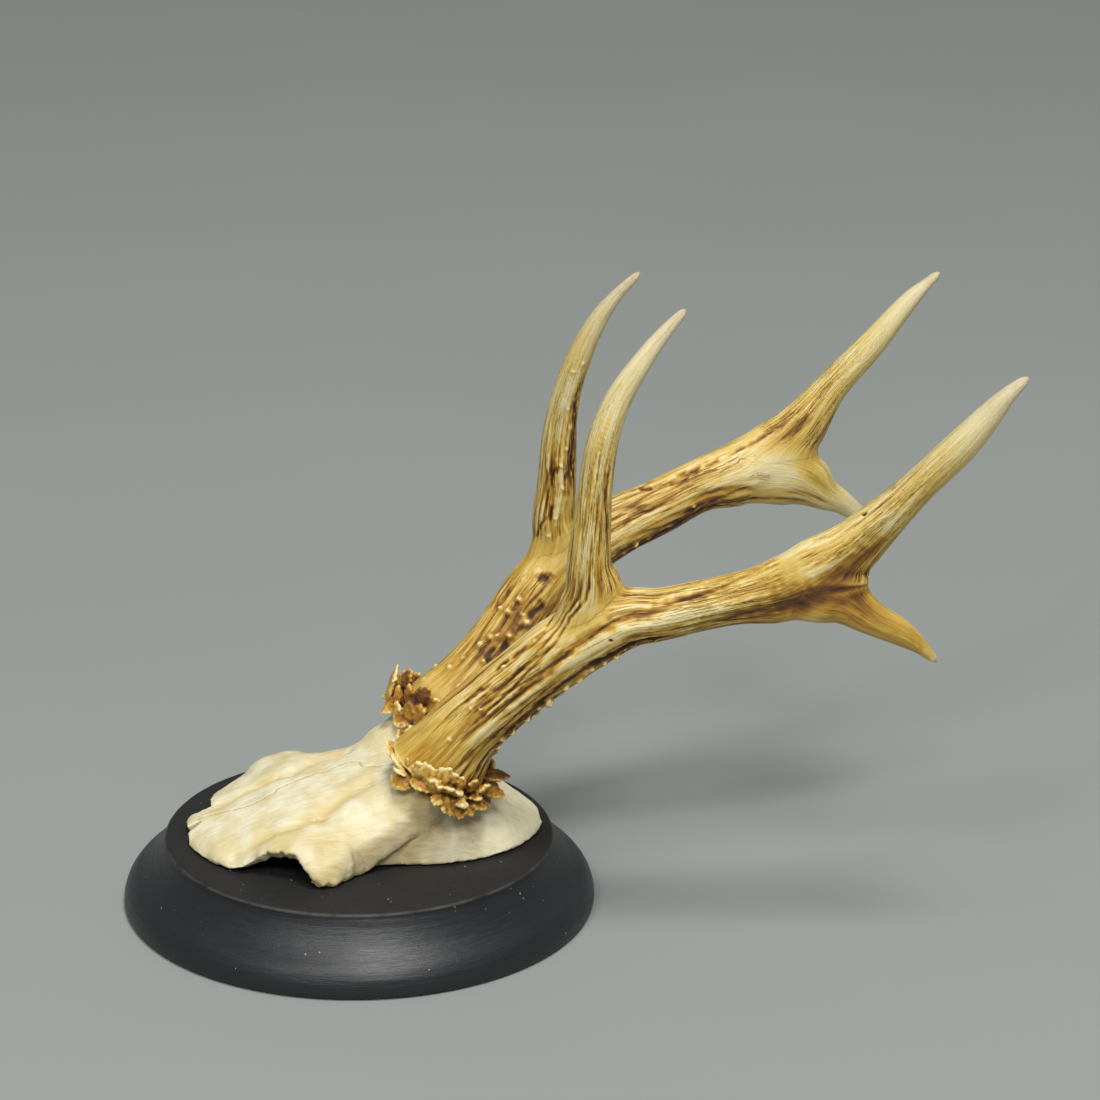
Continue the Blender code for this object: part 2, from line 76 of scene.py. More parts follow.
# %% Camera
CAMERA_PLACE = Vector((1.0050, -0.0888, 0.4766))
CAMERA_RIGHT = Vector((0.1364, 0.9906, 0.0075))
CAMERA_UP = Vector((-0.3456, 0.0405, 0.9375))
CAMERA_BACK = Vector((0.9284, -0.1305, 0.3479))
SENSOR_WIDTH = 36.0
LENS_LENGTH = 130.9


def place_camera():
    data = bpy.data.cameras.new("camera")
    data.sensor_width = SENSOR_WIDTH
    data.lens = LENS_LENGTH
    data.clip_start = 0.05
    data.clip_end = 50.0
    camera = bpy.data.objects.new("camera", data)
    bpy.context.scene.collection.objects.link(camera)
    turn = Matrix((CAMERA_RIGHT, CAMERA_UP, CAMERA_BACK)).transposed().to_4x4()
    camera.matrix_world = Matrix.Translation(CAMERA_PLACE) @ turn
    bpy.context.scene.camera = camera
    return camera


place_camera()
print("camera", round(CAMERA_PLACE.length, 2), "m from the plaque, lens", LENS_LENGTH, "mm")

# %% [markdown]
# ## Workshop habits
#
# Operators act on whatever is selected, so each step starts from a clean selection. A finished piece
# has its place in its mesh and its object at the origin: meshes are carried to their place, never their
# objects. A few small helpers keep to these habits.


# %% Helpers for selecting, modifiers and finishing
def deselect_all():
    if bpy.context.mode != "OBJECT":
        bpy.ops.object.mode_set(mode="OBJECT")
    bpy.ops.object.select_all(action="DESELECT")


def pick(*pieces):
    """Select these pieces only. The first one becomes the active one."""
    deselect_all()
    for piece in pieces:
        piece.select_set(True)
    bpy.context.view_layer.objects.active = pieces[0]


def work_on(piece):
    """Open a piece in edit mode with everything in it selected."""
    pick(piece)
    bpy.ops.object.mode_set(mode="EDIT")
    bpy.ops.mesh.select_all(action="SELECT")


def use_modifier(piece, kind, **settings):
    pick(piece)
    modifier = piece.modifiers.new(kind.title(), kind)
    for key, value in settings.items():
        setattr(modifier, key, value)
    bpy.ops.object.modifier_apply(modifier=modifier.name)


def fuse(name, pieces):
    """Join pieces into one object."""
    pick(*pieces)
    if len(pieces) > 1:
        bpy.ops.object.join()
    pieces[0].name = name
    pieces[0].data.name = name
    return pieces[0]


def copy_of(piece, matrix):
    """A copy with its own mesh, carried to its place."""
    mesh = piece.data.copy()
    mesh.transform(matrix)
    copy = bpy.data.objects.new(piece.name + "_copy", mesh)
    bpy.context.scene.collection.objects.link(copy)
    return copy


def skin_over(piece, grain):
    """One closed skin of small quads over everything that overlaps in the piece."""
    use_modifier(piece, "REMESH", mode="VOXEL", voxel_size=grain * MM, use_smooth_shade=True)
    print(piece.name, "skinned:", len(piece.data.polygons) * 2, "triangles")


def finish_piece(piece, material, slot, *nodes):
    piece.data.materials.clear()
    piece.data.materials.append(material)
    piece.data.shade_smooth()
    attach(piece, "root")
    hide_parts(*nodes)
    count = sum(len(face.vertices) - 2 for face in piece.data.polygons)
    print(piece.name, "finished:", count, "triangles")


# %% [markdown]
# ## Reading and shaping a fine skin
#
# The fine surface is shaped as a sculptor would: a value is worked out for each point of the skin, and
# the point is pushed in or out along its normal. Arrays of all points at once keep that quick.


# %% Points of a skin as arrays
def points_of(piece):
    flat = np.empty(len(piece.data.vertices) * 3)
    piece.data.vertices.foreach_get("co", flat)
    return flat.reshape(-1, 3) / MM


def set_points(piece, points):
    piece.data.vertices.foreach_set("co", (points * MM).ravel())
    piece.data.update()


def normals_of(piece):
    flat = np.empty(len(piece.data.vertices) * 3)
    piece.data.vertices.foreach_get("normal", flat)
    return flat.reshape(-1, 3)


def edges_of(piece):
    flat = np.empty(len(piece.data.edges) * 2, dtype=np.int64)
    piece.data.edges.foreach_get("vertices", flat)
    return flat.reshape(-1, 2)


def push(piece, lift):
    """Move each point along its normal by a lift in mm."""
    set_points(piece, points_of(piece) + normals_of(piece) * lift[:, None])


def evened(values, edges, rounds, share=0.5):
    """Values drawn towards the mean of their neighbours, several times."""
    values = np.array(values, dtype=float)
    columns = values.reshape(len(values), -1)
    start = np.concatenate([edges[:, 0], edges[:, 1]])
    end = np.concatenate([edges[:, 1], edges[:, 0]])
    count = np.maximum(np.bincount(start, minlength=len(columns)), 1)
    share = np.broadcast_to(np.asarray(share, dtype=float), len(columns))
    for _ in range(rounds):
        for index in range(columns.shape[1]):
            mean = np.bincount(start, weights=columns[end, index], minlength=len(columns)) / count
            columns[:, index] += share * (mean - columns[:, index])
    return columns.reshape(values.shape)


def store(piece, name, values):
    """Keep a value for each point, where a material can read it."""
    kind = "FLOAT" if values.ndim == 1 else "FLOAT_VECTOR"
    layer = piece.data.attributes.new(name, kind, "POINT")
    layer.data.foreach_set("value" if values.ndim == 1 else "vector", values.astype(np.float32).ravel())


def rise(values, low, high):
    """0 below low, 1 above high, an even curve between."""
    part = np.clip((np.asarray(values) - low) / (high - low), 0.0, 1.0)
    return part * part * (3.0 - 2.0 * part)


SEED_STRIDE = np.array((7.3, 3.1, 5.7))    # each seed reads the noise this far from the last one
NOISE_GAIN = 1.6                           # the noise itself stays within about 0.6 of zero


def grain_at(places, seed):
    """Soft noise from -1 to 1 at places counted in grains."""
    shifted = (places + seed * SEED_STRIDE).tolist()
    return np.fromiter((noise.noise(place) for place in shifted), float, len(shifted)) * NOISE_GAIN


# %% [markdown]
# ## Growth lines of the antlers
#
# An antler is a curved branch with an oval section that widens where it forks. Each line below holds a
# few rings along its middle: how far out from the skull's middle plane, how far back, how high, and half
# the width in the antler's plane and across it, all in mm. A smooth curve is read through them. A skin
# modifier could grow a branch from edges alone, but its sections are round and its forks lumpy, so each
# branch is extruded ring by ring instead.

# %% Rings along each branch
SKULL_MIDDLE = -2.0            # the skull's middle plane lies this far off the plaque's centre
LEFT_BEAM = (
    (15.3, 20.4, 43.4, 14.2, 12.4),
    (16.5, 23.6, 49.0, 11.6, 11.2),
    (18.0, 29.0, 57.0, 10.0, 10.0),
    (21.0, 42.0, 69.7, 9.2, 9.4),
    (25.0, 54.8, 81.3, 9.7, 9.2),
    (29.0, 67.6, 89.5, 8.4, 8.4),
    (31.5, 77.9, 91.6, 7.1, 7.4),
    (33.5, 88.3, 94.3, 6.7, 7.0),
    (35.5, 98.6, 96.8, 7.1, 6.6),
    (37.0, 109.5, 99.2, 9.2, 6.2),
    (39.0, 119.9, 105.2, 9.9, 5.8),
    (41.0, 129.3, 113.6, 7.3, 5.4),
    (44.0, 141.5, 127.3, 4.9, 4.7),
    (47.0, 153.6, 140.8, 4.5, 4.0),
    (48.0, 160.4, 149.1, 3.5, 3.2),
    (49.0, 164.6, 154.7, 2.4, 2.3),
    (49.4, 169.0, 158.9, 1.4, 1.4),
    (49.5, 170.3, 160.1, 0.4, 0.4),
)
LEFT_BROW = (
    (26.6, 58.0, 82.0, 9.0, 6.5),
    (27.6, 60.0, 90.0, 9.6, 6.2),
    (28.2, 60.6, 98.0, 8.2, 6.0),
    (28.5, 59.2, 104.5, 6.2, 5.7),
    (28.5, 59.3, 109.0, 5.6, 5.5),
    (28.5, 59.9, 117.9, 5.0, 5.0),
    (28.0, 60.9, 128.8, 4.5, 4.6),
    (27.5, 62.7, 139.7, 4.2, 4.2),
    (26.0, 66.7, 150.0, 3.6, 3.6),
    (25.0, 72.0, 158.3, 2.9, 2.9),
    (23.5, 78.0, 165.8, 2.1, 2.1),
    (22.2, 84.0, 172.0, 1.2, 1.2),
    (22.0, 85.0, 173.0, 0.4, 0.4),
)
LEFT_REAR = (
    (38.0, 110.0, 101.0, 8.4, 5.0),
    (39.2, 117.5, 98.6, 8.2, 5.2),
    (40.4, 125.2, 97.2, 7.0, 4.8),
    (41.5, 132.6, 92.2, 4.8, 4.3),
    (42.5, 140.7, 87.9, 3.7, 3.5),
    (43.0, 146.1, 83.9, 2.2, 2.2),
    (43.4, 149.8, 80.3, 1.2, 1.2),
    (43.5, 150.8, 79.3, 0.4, 0.4),
)
RIGHT_BEAM = (
    (16.2, 22.6, 45.2, 11.2, 12.0),
    (17.0, 26.2, 49.8, 9.4, 10.6),
    (18.0, 30.4, 53.3, 8.6, 9.8),
    (20.0, 37.9, 60.0, 8.7, 9.2),
    (23.0, 46.3, 68.8, 9.2, 9.2),
    (26.0, 53.7, 77.7, 9.5, 9.2),
    (29.0, 62.5, 86.4, 9.2, 8.6),
    (32.0, 75.6, 93.3, 8.4, 7.8),
    (34.0, 88.6, 98.4, 7.9, 7.0),
    (35.5, 100.1, 103.4, 7.6, 6.6),
    (37.5, 112.4, 106.2, 9.6, 6.2),
    (39.0, 122.2, 111.0, 9.9, 5.8),
    (40.5, 129.9, 118.4, 7.3, 5.4),
    (43.0, 138.3, 128.6, 4.7, 4.7),
    (45.5, 149.9, 139.9, 3.9, 3.9),
    (48.0, 160.6, 151.3, 2.7, 2.7),
    (49.0, 165.6, 155.8, 1.7, 1.7),
    (49.4, 168.8, 158.5, 1.2, 1.2),
    (49.5, 169.8, 159.4, 0.4, 0.4),
)
RIGHT_BROW = (
    (26.4, 57.0, 77.0, 8.6, 6.5),
    (27.4, 59.2, 86.0, 9.4, 6.3),
    (28.0, 59.2, 93.0, 8.0, 6.1),
    (28.5, 57.8, 99.0, 6.0, 5.8),
    (28.5, 58.6, 109.2, 5.3, 5.4),
    (28.0, 59.0, 121.1, 4.9, 4.9),
    (27.0, 60.4, 132.9, 4.1, 4.3),
    (25.5, 63.6, 144.8, 3.5, 3.7),
    (24.0, 68.8, 156.5, 2.6, 2.7),
    (23.0, 74.0, 164.0, 1.7, 1.7),
    (22.2, 78.8, 169.1, 1.1, 1.1),
    (22.0, 79.9, 170.3, 0.4, 0.4),
)
RIGHT_REAR = (
    (37.2, 110.0, 106.5, 9.0, 6.0),
    (38.0, 118.5, 106.0, 9.6, 6.0),
    (38.8, 126.0, 104.6, 9.4, 5.7),
    (39.7, 131.4, 102.0, 7.8, 5.1),
    (40.9, 136.9, 97.6, 4.9, 4.3),
    (42.2, 142.5, 94.2, 3.4, 3.3),
    (43.3, 149.0, 88.6, 2.2, 2.2),
    (44.0, 154.3, 82.6, 0.7, 0.7),
)
# A flat web fills the fork between the top point and the rear tine.
LEFT_WEB = (
    (36.4, 104.0, 97.8, 5.5, 5.6),
    (37.6, 111.0, 99.2, 8.0, 6.0),
    (39.0, 118.0, 101.2, 8.6, 6.0),
    (40.2, 124.5, 102.4, 7.6, 5.4),
    (41.0, 129.5, 102.6, 5.0, 4.2),
    (41.4, 132.0, 102.6, 2.0, 2.2),
)
RIGHT_WEB = (
    (36.2, 106.0, 105.0, 5.5, 5.8),
    (37.2, 113.0, 106.4, 8.0, 6.2),
    (38.2, 120.0, 108.4, 8.4, 6.0),
    (39.2, 126.0, 110.0, 7.8, 5.6),
    (40.2, 131.0, 110.4, 5.0, 4.6),
    (40.8, 134.0, 110.4, 2.0, 2.4),
)
# Grain turns into the brow tine in a wider bend than the tine's own middle line.
BROW_BENDS = {
    1: ((24.4, 51.5, 80.0, 9.3, 8.6), (26.6, 56.6, 88.5, 8.8, 7.2), (28.0, 59.3, 97.0, 8.0, 6.3)),
    -1: ((23.8, 48.8, 73.5, 9.3, 8.7), (26.4, 54.6, 83.0, 8.9, 7.2), (28.0, 57.8, 92.0, 8.0, 6.3)),
}


# %% A smooth curve through the rings
FINE_STEPS = 40                # steps between two rows when a curve is measured


def between(rows, position):
    """Catmull-Rom value of the rows at a position counted in rows."""
    last = len(rows) - 1
    row = min(int(position), last - 1)
    part = position - row
    a, b, c, d = (np.array(rows[i]) for i in (max(row - 1, 0), row, row + 1, min(row + 2, last)))
    slope_in = (c - a) / 2
    slope_out = (d - b) / 2
    cubic = 2 * b - 2 * c + slope_in + slope_out
    square = 3 * c - 3 * b - 2 * slope_in - slope_out
    return ((cubic * part + square) * part + slope_in) * part + b


def even_rows(rows, spacing):
    """Rows evenly spaced along the smooth curve, each with the length travelled so far."""
    count = FINE_STEPS * (len(rows) - 1) + 1
    fine = np.array([between(rows, index / FINE_STEPS) for index in range(count)])
    steps = np.linalg.norm(np.diff(fine[:, :3], axis=0), axis=1)
    travelled = np.concatenate([[0.0], np.cumsum(steps)])
    wanted = np.linspace(0.0, travelled[-1], max(2, round(travelled[-1] / spacing)) + 1)
    columns = [np.interp(wanted, travelled, fine[:, index]) for index in range(fine.shape[1])]
    return np.stack([*columns, wanted], axis=1)


# %% The middle line of a branch
class Course:
    """The middle line of a branch, with a frame at each of its rings."""

    def __init__(self, rows, spacing, side):
        rings = even_rows(rows, spacing)
        self.side = side
        self.middle = rings[:, :3].copy()
        self.middle[:, 0] = SKULL_MIDDLE + side * rings[:, 0]
        self.half_width, self.half_thick, self.travelled = rings[:, 3], rings[:, 4], rings[:, 5]
        along = np.gradient(self.middle, axis=0)
        self.along = along / np.linalg.norm(along, axis=1)[:, None]
        front = np.cross(np.array((1.0, 0.0, 0.0)), self.along)
        self.front = front / np.linalg.norm(front, axis=1)[:, None]
        self.inner = -side * np.cross(self.along, self.front)
        self.length = self.travelled[-1]

    def ring(self, index):
        """The matrix that carries a flat unit circle to a ring."""
        columns = (
            self.front[index] * self.half_width[index],
            self.inner[index] * self.half_thick[index],
            self.along[index],
            self.middle[index],
        )
        matrix = Matrix([[float(column[row]) for column in columns] for row in range(3)]).to_4x4()
        return Matrix.Scale(MM, 4) @ matrix

    def spot(self, share, around, sink=0.0):
        """A place on the skin: share of the length, degrees from the nose side over the inner side."""
        index = round(share * (len(self.middle) - 1))
        turn = math.radians(around)
        outward = self.front[index] * self.half_width[index] * math.cos(turn)
        outward = outward + self.inner[index] * self.half_thick[index] * math.sin(turn)
        size = np.linalg.norm(outward)
        return self.middle[index] + outward * (1.0 - sink / size), outward / size, self.along[index]

    def locate(self, points):
        """How far along each point is, its turn round the branch, and how far out in half widths."""
        tree = kdtree.KDTree(len(self.middle))
        for index, place in enumerate(self.middle):
            tree.insert(place, index)
        tree.balance()
        nearest = np.fromiter((tree.find(point)[1] for point in points.tolist()), int, len(points))
        offset = points - self.middle[nearest]
        forth = np.einsum("ij,ij->i", offset, self.front[nearest]) / self.half_width[nearest]
        inward = np.einsum("ij,ij->i", offset, self.inner[nearest]) / self.half_thick[nearest]
        along = self.travelled[nearest] + np.einsum("ij,ij->i", offset, self.along[nearest])
        return along, np.arctan2(inward, forth), np.hypot(forth, inward)


# %% [markdown]
# ## Extruding a branch
#
# A circle is added at the first ring, and then it is extruded again and again: after each extrusion the
# new ring is carried from the place of the last one to its own.


# %% Extrude ring by ring
BRANCH_SIDES = 24


def grow_branch(name, course):
    deselect_all()
    bpy.ops.mesh.primitive_circle_add(vertices=BRANCH_SIDES, radius=1.0, fill_type="NGON")
    branch = bpy.context.active_object
    branch.name = name
    branch.data.transform(course.ring(0))
    work_on(branch)
    bpy.ops.mesh.select_mode(type="FACE")
    for index in range(1, len(course.middle)):
        bpy.ops.mesh.extrude_region_move()
        carry = course.ring(index) @ course.ring(index - 1).inverted()
        open_mesh = bmesh.from_edit_mesh(branch.data)
        ring = [vertex for vertex in open_mesh.verts if vertex.select]
        bmesh.ops.transform(open_mesh, matrix=carry, verts=ring)
    bmesh.update_edit_mesh(branch.data)
    bpy.ops.mesh.select_all(action="SELECT")
    bpy.ops.mesh.normals_make_consistent(inside=False)
    deselect_all()
    return branch


# %% [markdown]
# ## Pearls and burrs
#
# Pearls are the small bony beads on an antler, and the burr is the frilled crown of such beads round its
# foot. One pearl is modelled, and copies of it, each with its own size and lean, are set on the beam. Wide
# flat copies make the burr's lobes. The skin that is laid over them later fuses them, as bone does.

# %% One pearl
PEARL_POINT = 0.25             # how far its tip is drawn out and narrowed


def model_pearl():
    """A bead with a drawn-out tip and a radius of one unit."""
    deselect_all()
    bpy.ops.mesh.primitive_ico_sphere_add(subdivisions=3, radius=1.0)
    pearl = bpy.context.active_object
    pearl.name = "pearl"
    for vertex in pearl.data.vertices:
        height = max(vertex.co.z, 0.0)
        vertex.co.z += PEARL_POINT * height ** 3
        vertex.co.x *= 1.0 - PEARL_POINT * height
        vertex.co.y *= 1.0 - PEARL_POINT * height
    return pearl


def seat(place, outward, upward, width, depth, height):
    """The matrix that sets a unit pearl on a place, its +Z along upward."""
    up = Vector(upward).normalized()
    out = Vector(outward)
    out = (out - up * out.dot(up)).normalized()
    across = out.cross(up)
    columns = (across * width, out * depth, up * height, Vector(place))
    matrix = Matrix([[column[row] for column in columns] for row in range(3)]).to_4x4()
    return Matrix.Scale(MM, 4) @ matrix


# %% [markdown]
# ## Where pearls and lobes sit
#
# The left antler carries a row of sharp beads down its rear edge. The right one has a nest of white-tipped
# beads on its inner face. Each is placed by its share of the beam's length and its turn round the beam.
# The lobes of a burr are listed one by one where the antler faces the viewer, because each has its own
# shape. On the hidden part they follow a rule. Scattering all of them by chance would be shorter, but no
# two burrs would keep their characters.

# %% Pearls along the beams: share of length, degrees round, radius
LEFT_PEARLS = (
    (0.090, 165, 1.1), (0.105, 295, 0.7), (0.106, 204, 1.2), (0.120, 193, 1.2), (0.134, 216, 1.1),
    (0.148, 226, 1.3), (0.162, 222, 1.4), (0.176, 230, 1.0), (0.191, 219, 1.4), (0.204, 208, 1.0),
    (0.216, 226, 1.1), (0.230, 222, 1.9), (0.250, 214, 0.9), (0.262, 226, 1.1), (0.284, 220, 1.4),
    (0.299, 226, 0.9), (0.312, 228, 1.1), (0.329, 222, 1.0), (0.349, 221, 1.3), (0.366, 226, 0.8),
    (0.386, 222, 0.9), (0.415, 224, 0.8), (0.161, 300, 0.8), (0.217, 332, 0.9), (0.150, 310, 0.6),
    (0.130, 150, 1.2), (0.180, 140, 1.1), (0.230, 150, 1.0), (0.160, 110, 1.0), (0.210, 96, 1.1),
    (0.250, 120, 0.9), (0.120, 84, 1.0), (0.190, 70, 0.9),
)
RIGHT_PEARLS = (
    (0.226, 49, 1.5), (0.228, 86, 1.3), (0.233, 71, 0.8), (0.224, 28, 0.9), (0.198, 74, 1.1),
    (0.182, 49, 1.3), (0.188, 56, 1.0), (0.165, 43, 1.4), (0.152, 67, 1.1), (0.145, 78, 0.8),
    (0.248, 52, 1.3), (0.293, 49, 1.4), (0.282, 31, 0.8), (0.272, 35, 0.7), (0.134, 33, 0.8),
    (0.113, 24, 0.9), (0.100, 350, 1.0), (0.102, 67, 0.9), (0.075, 4, 0.9), (0.425, 127, 1.3),
    (0.520, 108, 0.9), (0.120, 130, 1.1), (0.150, 150, 1.2), (0.180, 168, 1.3), (0.220, 176, 1.2),
    (0.260, 182, 1.1), (0.300, 178, 1.0), (0.340, 184, 0.9), (0.150, 190, 1.1), (0.110, 206, 1.2),
    (0.200, 230, 0.9),
)
RIGHT_BROW_PEARLS = (
    (0.788, 76, 0.6), (0.806, 104, 0.6), (0.717, 98, 0.5), (0.682, 118, 0.6), (0.640, 108, 0.6),
    (0.608, 92, 0.7), (0.563, 100, 0.7), (0.508, 84, 0.6), (0.585, 57, 0.5), (0.470, 70, 0.6),
)
PEARL_SINK = 0.25              # how deep a pearl's middle lies below the beam's skin, in radii


def set_pearls(pearl, course, pearls):
    """Pearls on the skin of a course."""
    copies = []
    for share, around, radius in pearls:
        place, outward, along = course.spot(share, around, PEARL_SINK * radius)
        copies.append(copy_of(pearl, seat(place, along, outward, radius, radius, radius)))
    return copies


# %% Burrs: where each lies, and its lobes
BURRS = {
    1: ((15.8, 22.0, 43.6), (0.18, 0.30, 0.94)),
    -1: ((16.6, 24.2, 48.4), (0.02, 0.32, 0.945)),
}
BURR_FOOT = 11.2               # radius of the collar that the lobes grow from
# Degrees round, distance from the axis, height over the burr's middle, half width, half thickness,
# reach along the lean, lean (0 stands up along the beam, 90 points straight out), radius of rim beads,
# sap it holds (below 0 cream, 0.5 brown).
LEFT_LOBES = (
    (18, 15.2, 0.0, 2.4, 0.8, 2.2, 62, 0.3, -0.12), (3, 14.4, 0.0, 3.0, 1.0, 2.6, 68, 0.35, -0.05),
    (346, 13.9, 0.4, 3.8, 1.0, 3.2, 58, 0.4, -0.16), (333, 13.6, 2.8, 1.0, 0.9, 1.6, 20, 0.0, 0.12),
    (331, 13.0, -1.9, 4.3, 1.2, 3.9, 140, 0.55, 0.04), (336, 14.2, -0.4, 2.8, 0.8, 1.8, 84, 0.4, -0.10),
    (318, 12.9, 2.4, 1.4, 1.2, 3.0, 8, 0.6, -0.10), (311, 13.0, 3.6, 1.2, 1.1, 2.8, 4, 0.0, -0.12),
    (304, 12.9, 3.2, 1.3, 1.2, 3.2, 8, 0.6, -0.10), (297, 12.9, 2.6, 1.2, 1.1, 3.2, 6, 0.0, -0.05),
    (306, 12.9, -0.6, 3.0, 1.4, 2.6, 100, 0.6, 0.06), (291, 13.0, 0.6, 2.2, 1.4, 3.4, 30, 0.7, -0.06),
    (289, 12.7, 4.4, 1.2, 1.2, 3.2, 10, 0.55, -0.12), (281, 13.1, 5.2, 1.3, 1.2, 3.0, 4, 0.65, -0.08),
    (272, 12.7, 4.2, 1.1, 1.1, 3.0, 14, 0.6, -0.02), (263, 12.9, 3.4, 1.2, 1.1, 3.0, 10, 0.55, 0.08),
    (284, 13.6, 1.6, 1.5, 1.3, 2.6, 58, 0.65, 0.0), (274, 13.9, 1.9, 1.3, 1.2, 2.4, 52, 0.65, 0.08),
    (264, 13.8, 1.6, 1.3, 1.2, 2.4, 66, 0.7, -0.06), (255, 14.0, -1.4, 1.4, 1.2, 2.4, 92, 0.7, -0.08),
    (282, 13.4, -1.6, 1.5, 1.3, 2.8, 108, 0.7, 0.02), (273, 13.6, -2.2, 1.6, 1.3, 2.8, 116, 0.75, 0.06),
    (263, 13.5, -3.2, 1.5, 1.3, 2.8, 126, 0.75, 0.12), (253, 13.3, -3.8, 1.6, 1.3, 2.8, 122, 0.75, 0.14),
    (243, 13.3, -3.2, 1.6, 1.3, 2.8, 116, 0.75, 0.16), (244, 12.8, 3.0, 1.2, 1.1, 3.0, 18, 0.5, 0.34),
    (237, 13.2, -0.4, 1.5, 1.3, 2.8, 74, 0.65, 0.16), (226, 13.0, 0.9, 2.3, 1.2, 3.6, 30, 0.6, 0.12),
    (228, 14.0, -2.4, 2.6, 1.2, 2.4, 112, 0.7, 0.12), (203, 14.0, -0.8, 3.6, 1.1, 4.2, 92, 0.0, 0.10),
    (188, 13.2, 1.9, 3.0, 1.1, 4.6, 80, 0.5, 0.48), (181, 12.8, -2.2, 3.4, 1.4, 3.4, 104, 0.6, 0.34),
    (202, 12.9, -4.0, 3.0, 1.3, 2.8, 118, 0.7, 0.20),
)
RIGHT_LOBES = (
    (356, 14.3, 1.6, 3.0, 1.1, 5.8, 4, 0.45, -0.02), (340, 13.2, -0.6, 2.8, 1.2, 4.6, 18, 0.5, 0.04),
    (14, 12.9, 4.6, 1.6, 1.3, 3.2, 6, 0.6, 0.16), (25, 13.1, 6.4, 1.8, 1.5, 3.2, 8, 0.7, 0.40),
    (21, 13.8, 1.0, 1.7, 1.3, 3.2, 18, 0.0, 0.10), (37, 13.6, 3.2, 1.7, 1.3, 3.4, 16, 0.5, 0.26),
    (48, 13.0, 2.4, 1.6, 1.2, 3.2, 8, 0.6, 0.44), (56, 13.2, 4.8, 2.0, 1.4, 3.0, 14, 0.75, 0.40),
    (71, 12.8, 2.8, 1.9, 1.3, 3.0, 14, 0.65, 0.14), (88, 12.6, 1.4, 1.8, 1.4, 3.2, 24, 0.7, 0.2),
    (10, 13.4, -3.0, 2.6, 1.4, 3.6, 142, 0.5, 0.0), (28, 13.2, -3.6, 2.3, 1.2, 3.6, 24, 0.5, -0.04),
    (45, 13.4, -1.6, 2.0, 1.0, 3.6, 12, 0.5, 0.06), (58, 13.2, -1.0, 2.1, 1.0, 3.6, 12, 0.45, 0.05),
    (80, 13.0, -2.2, 2.6, 1.4, 3.2, 50, 0.7, 0.2), (40, 13.2, -4.4, 2.6, 1.3, 2.8, 120, 0.6, 0.10),
)
HIDDEN_LOBES = {1: (32, 172), -1: (100, 332)}     # degrees round where lobes grow without a table
HIDDEN_STEP = 15.0


def burr_axes(side):
    """A burr's middle and its three directions: along the beam, to the nose, to the other antler."""
    (out, back, up), (lean_out, lean_back, lean_up) = BURRS[side]
    centre = Vector((SKULL_MIDDLE + side * out, back, up))
    axis = Vector((side * lean_out, lean_back, lean_up)).normalized()
    nose = Vector((0.0, -1.0, 0.0))
    nose = (nose - axis * nose.dot(axis)).normalized()
    return centre, axis, nose, axis.cross(nose) * -side


def on_burr(side, around, distance, height):
    """A place round a burr, the way out there, and the way up along the beam."""
    centre, axis, nose, inner = burr_axes(side)
    turn = math.radians(around)
    outward = nose * math.cos(turn) + inner * math.sin(turn)
    return centre + outward * distance + axis * height, outward, axis


def spare_lobes(side, shuffle):
    """Two rows of lobes for the part of a burr that turns away."""
    start, end = HIDDEN_LOBES[side]
    around = start
    while around < end:
        upper, lower = shuffle.uniform(-0.6, 1.6), shuffle.uniform(-3.6, -2.4)
        yield (around, 12.8, upper, shuffle.uniform(1.8, 3.0), 1.4, shuffle.uniform(2.8, 3.8),
               shuffle.uniform(20, 60), 0.7, shuffle.uniform(-0.05, 0.3))
        yield (around + 0.5 * HIDDEN_STEP, 12.9, lower, shuffle.uniform(2.4, 3.4), 1.5,
               shuffle.uniform(2.8, 3.6), shuffle.uniform(86, 124), 0.75, shuffle.uniform(0.0, 0.3))
        around += HIDDEN_STEP


# %% Setting the lobes of a burr
LOBE_SPREAD = 88.0             # the outermost beads sit this many degrees off a lobe's lean
LOBE_WAVER = 4.0               # degrees that leans and beads stray
RIM_INSET = 0.86               # the beads' middles, as a share of the lobe's reach and width
BEAD_SPACING = 1.5             # distance between beads on a rim, in bead radii
BEADS_BETWEEN = 46             # small beads that fill the gaps round the collar
BEAD_RING = 12.4               # how far from the axis they sit, in mm
BEAD_SAP = 0.24
COLLAR_DROP = 1.2              # how far the collar's middle lies below the burr's
BARE_PLATES = {1: (322, 40), -1: (335, 10)}    # degrees round where smooth plates have no beads between


def set_lobe(pearl, side, lobe, shuffle, marks):
    """A flat lobe and the beads that scallop its rim. Their sap and their tips are noted in marks."""
    around, distance, height, wide, thick, reach, lean, bead, sap = lobe
    place, outward, axis = on_burr(side, around, distance, height)
    tilt = math.radians(lean + shuffle.uniform(-LOBE_WAVER, LOBE_WAVER))
    along = outward * math.sin(tilt) + axis * math.cos(tilt)
    across = along.cross(outward.cross(axis)).normalized()
    tangent = along.cross(across)
    parts = [copy_of(pearl, seat(place, across, along, wide, thick, reach * 0.9))]
    marks["sap"] += [(place + along * reach * share, sap) for share in (-0.5, 0.0, 0.5)]
    if not bead:
        marks["tips"].append(place + along * reach)
        return parts
    count = round(math.radians(LOBE_SPREAD * 2) * (wide + reach) / 2 / (bead * BEAD_SPACING))
    for index in range(count):
        stray = shuffle.uniform(-LOBE_WAVER, LOBE_WAVER)
        swing = math.radians(LOBE_SPREAD * (2 * (index + 0.5) / count - 1) + stray)
        outwards = along * math.cos(swing) + tangent * math.sin(swing)
        rim = place + along * math.cos(swing) * reach * RIM_INSET
        rim += tangent * math.sin(swing) * wide * RIM_INSET
        rim += across * shuffle.uniform(-0.25, 0.25) * thick
        grown = bead * shuffle.uniform(0.8, 1.25)
        parts.append(copy_of(pearl, seat(rim, across, outwards, grown, grown, grown)))
        marks["tips"].append(rim + outwards * grown)
    return parts


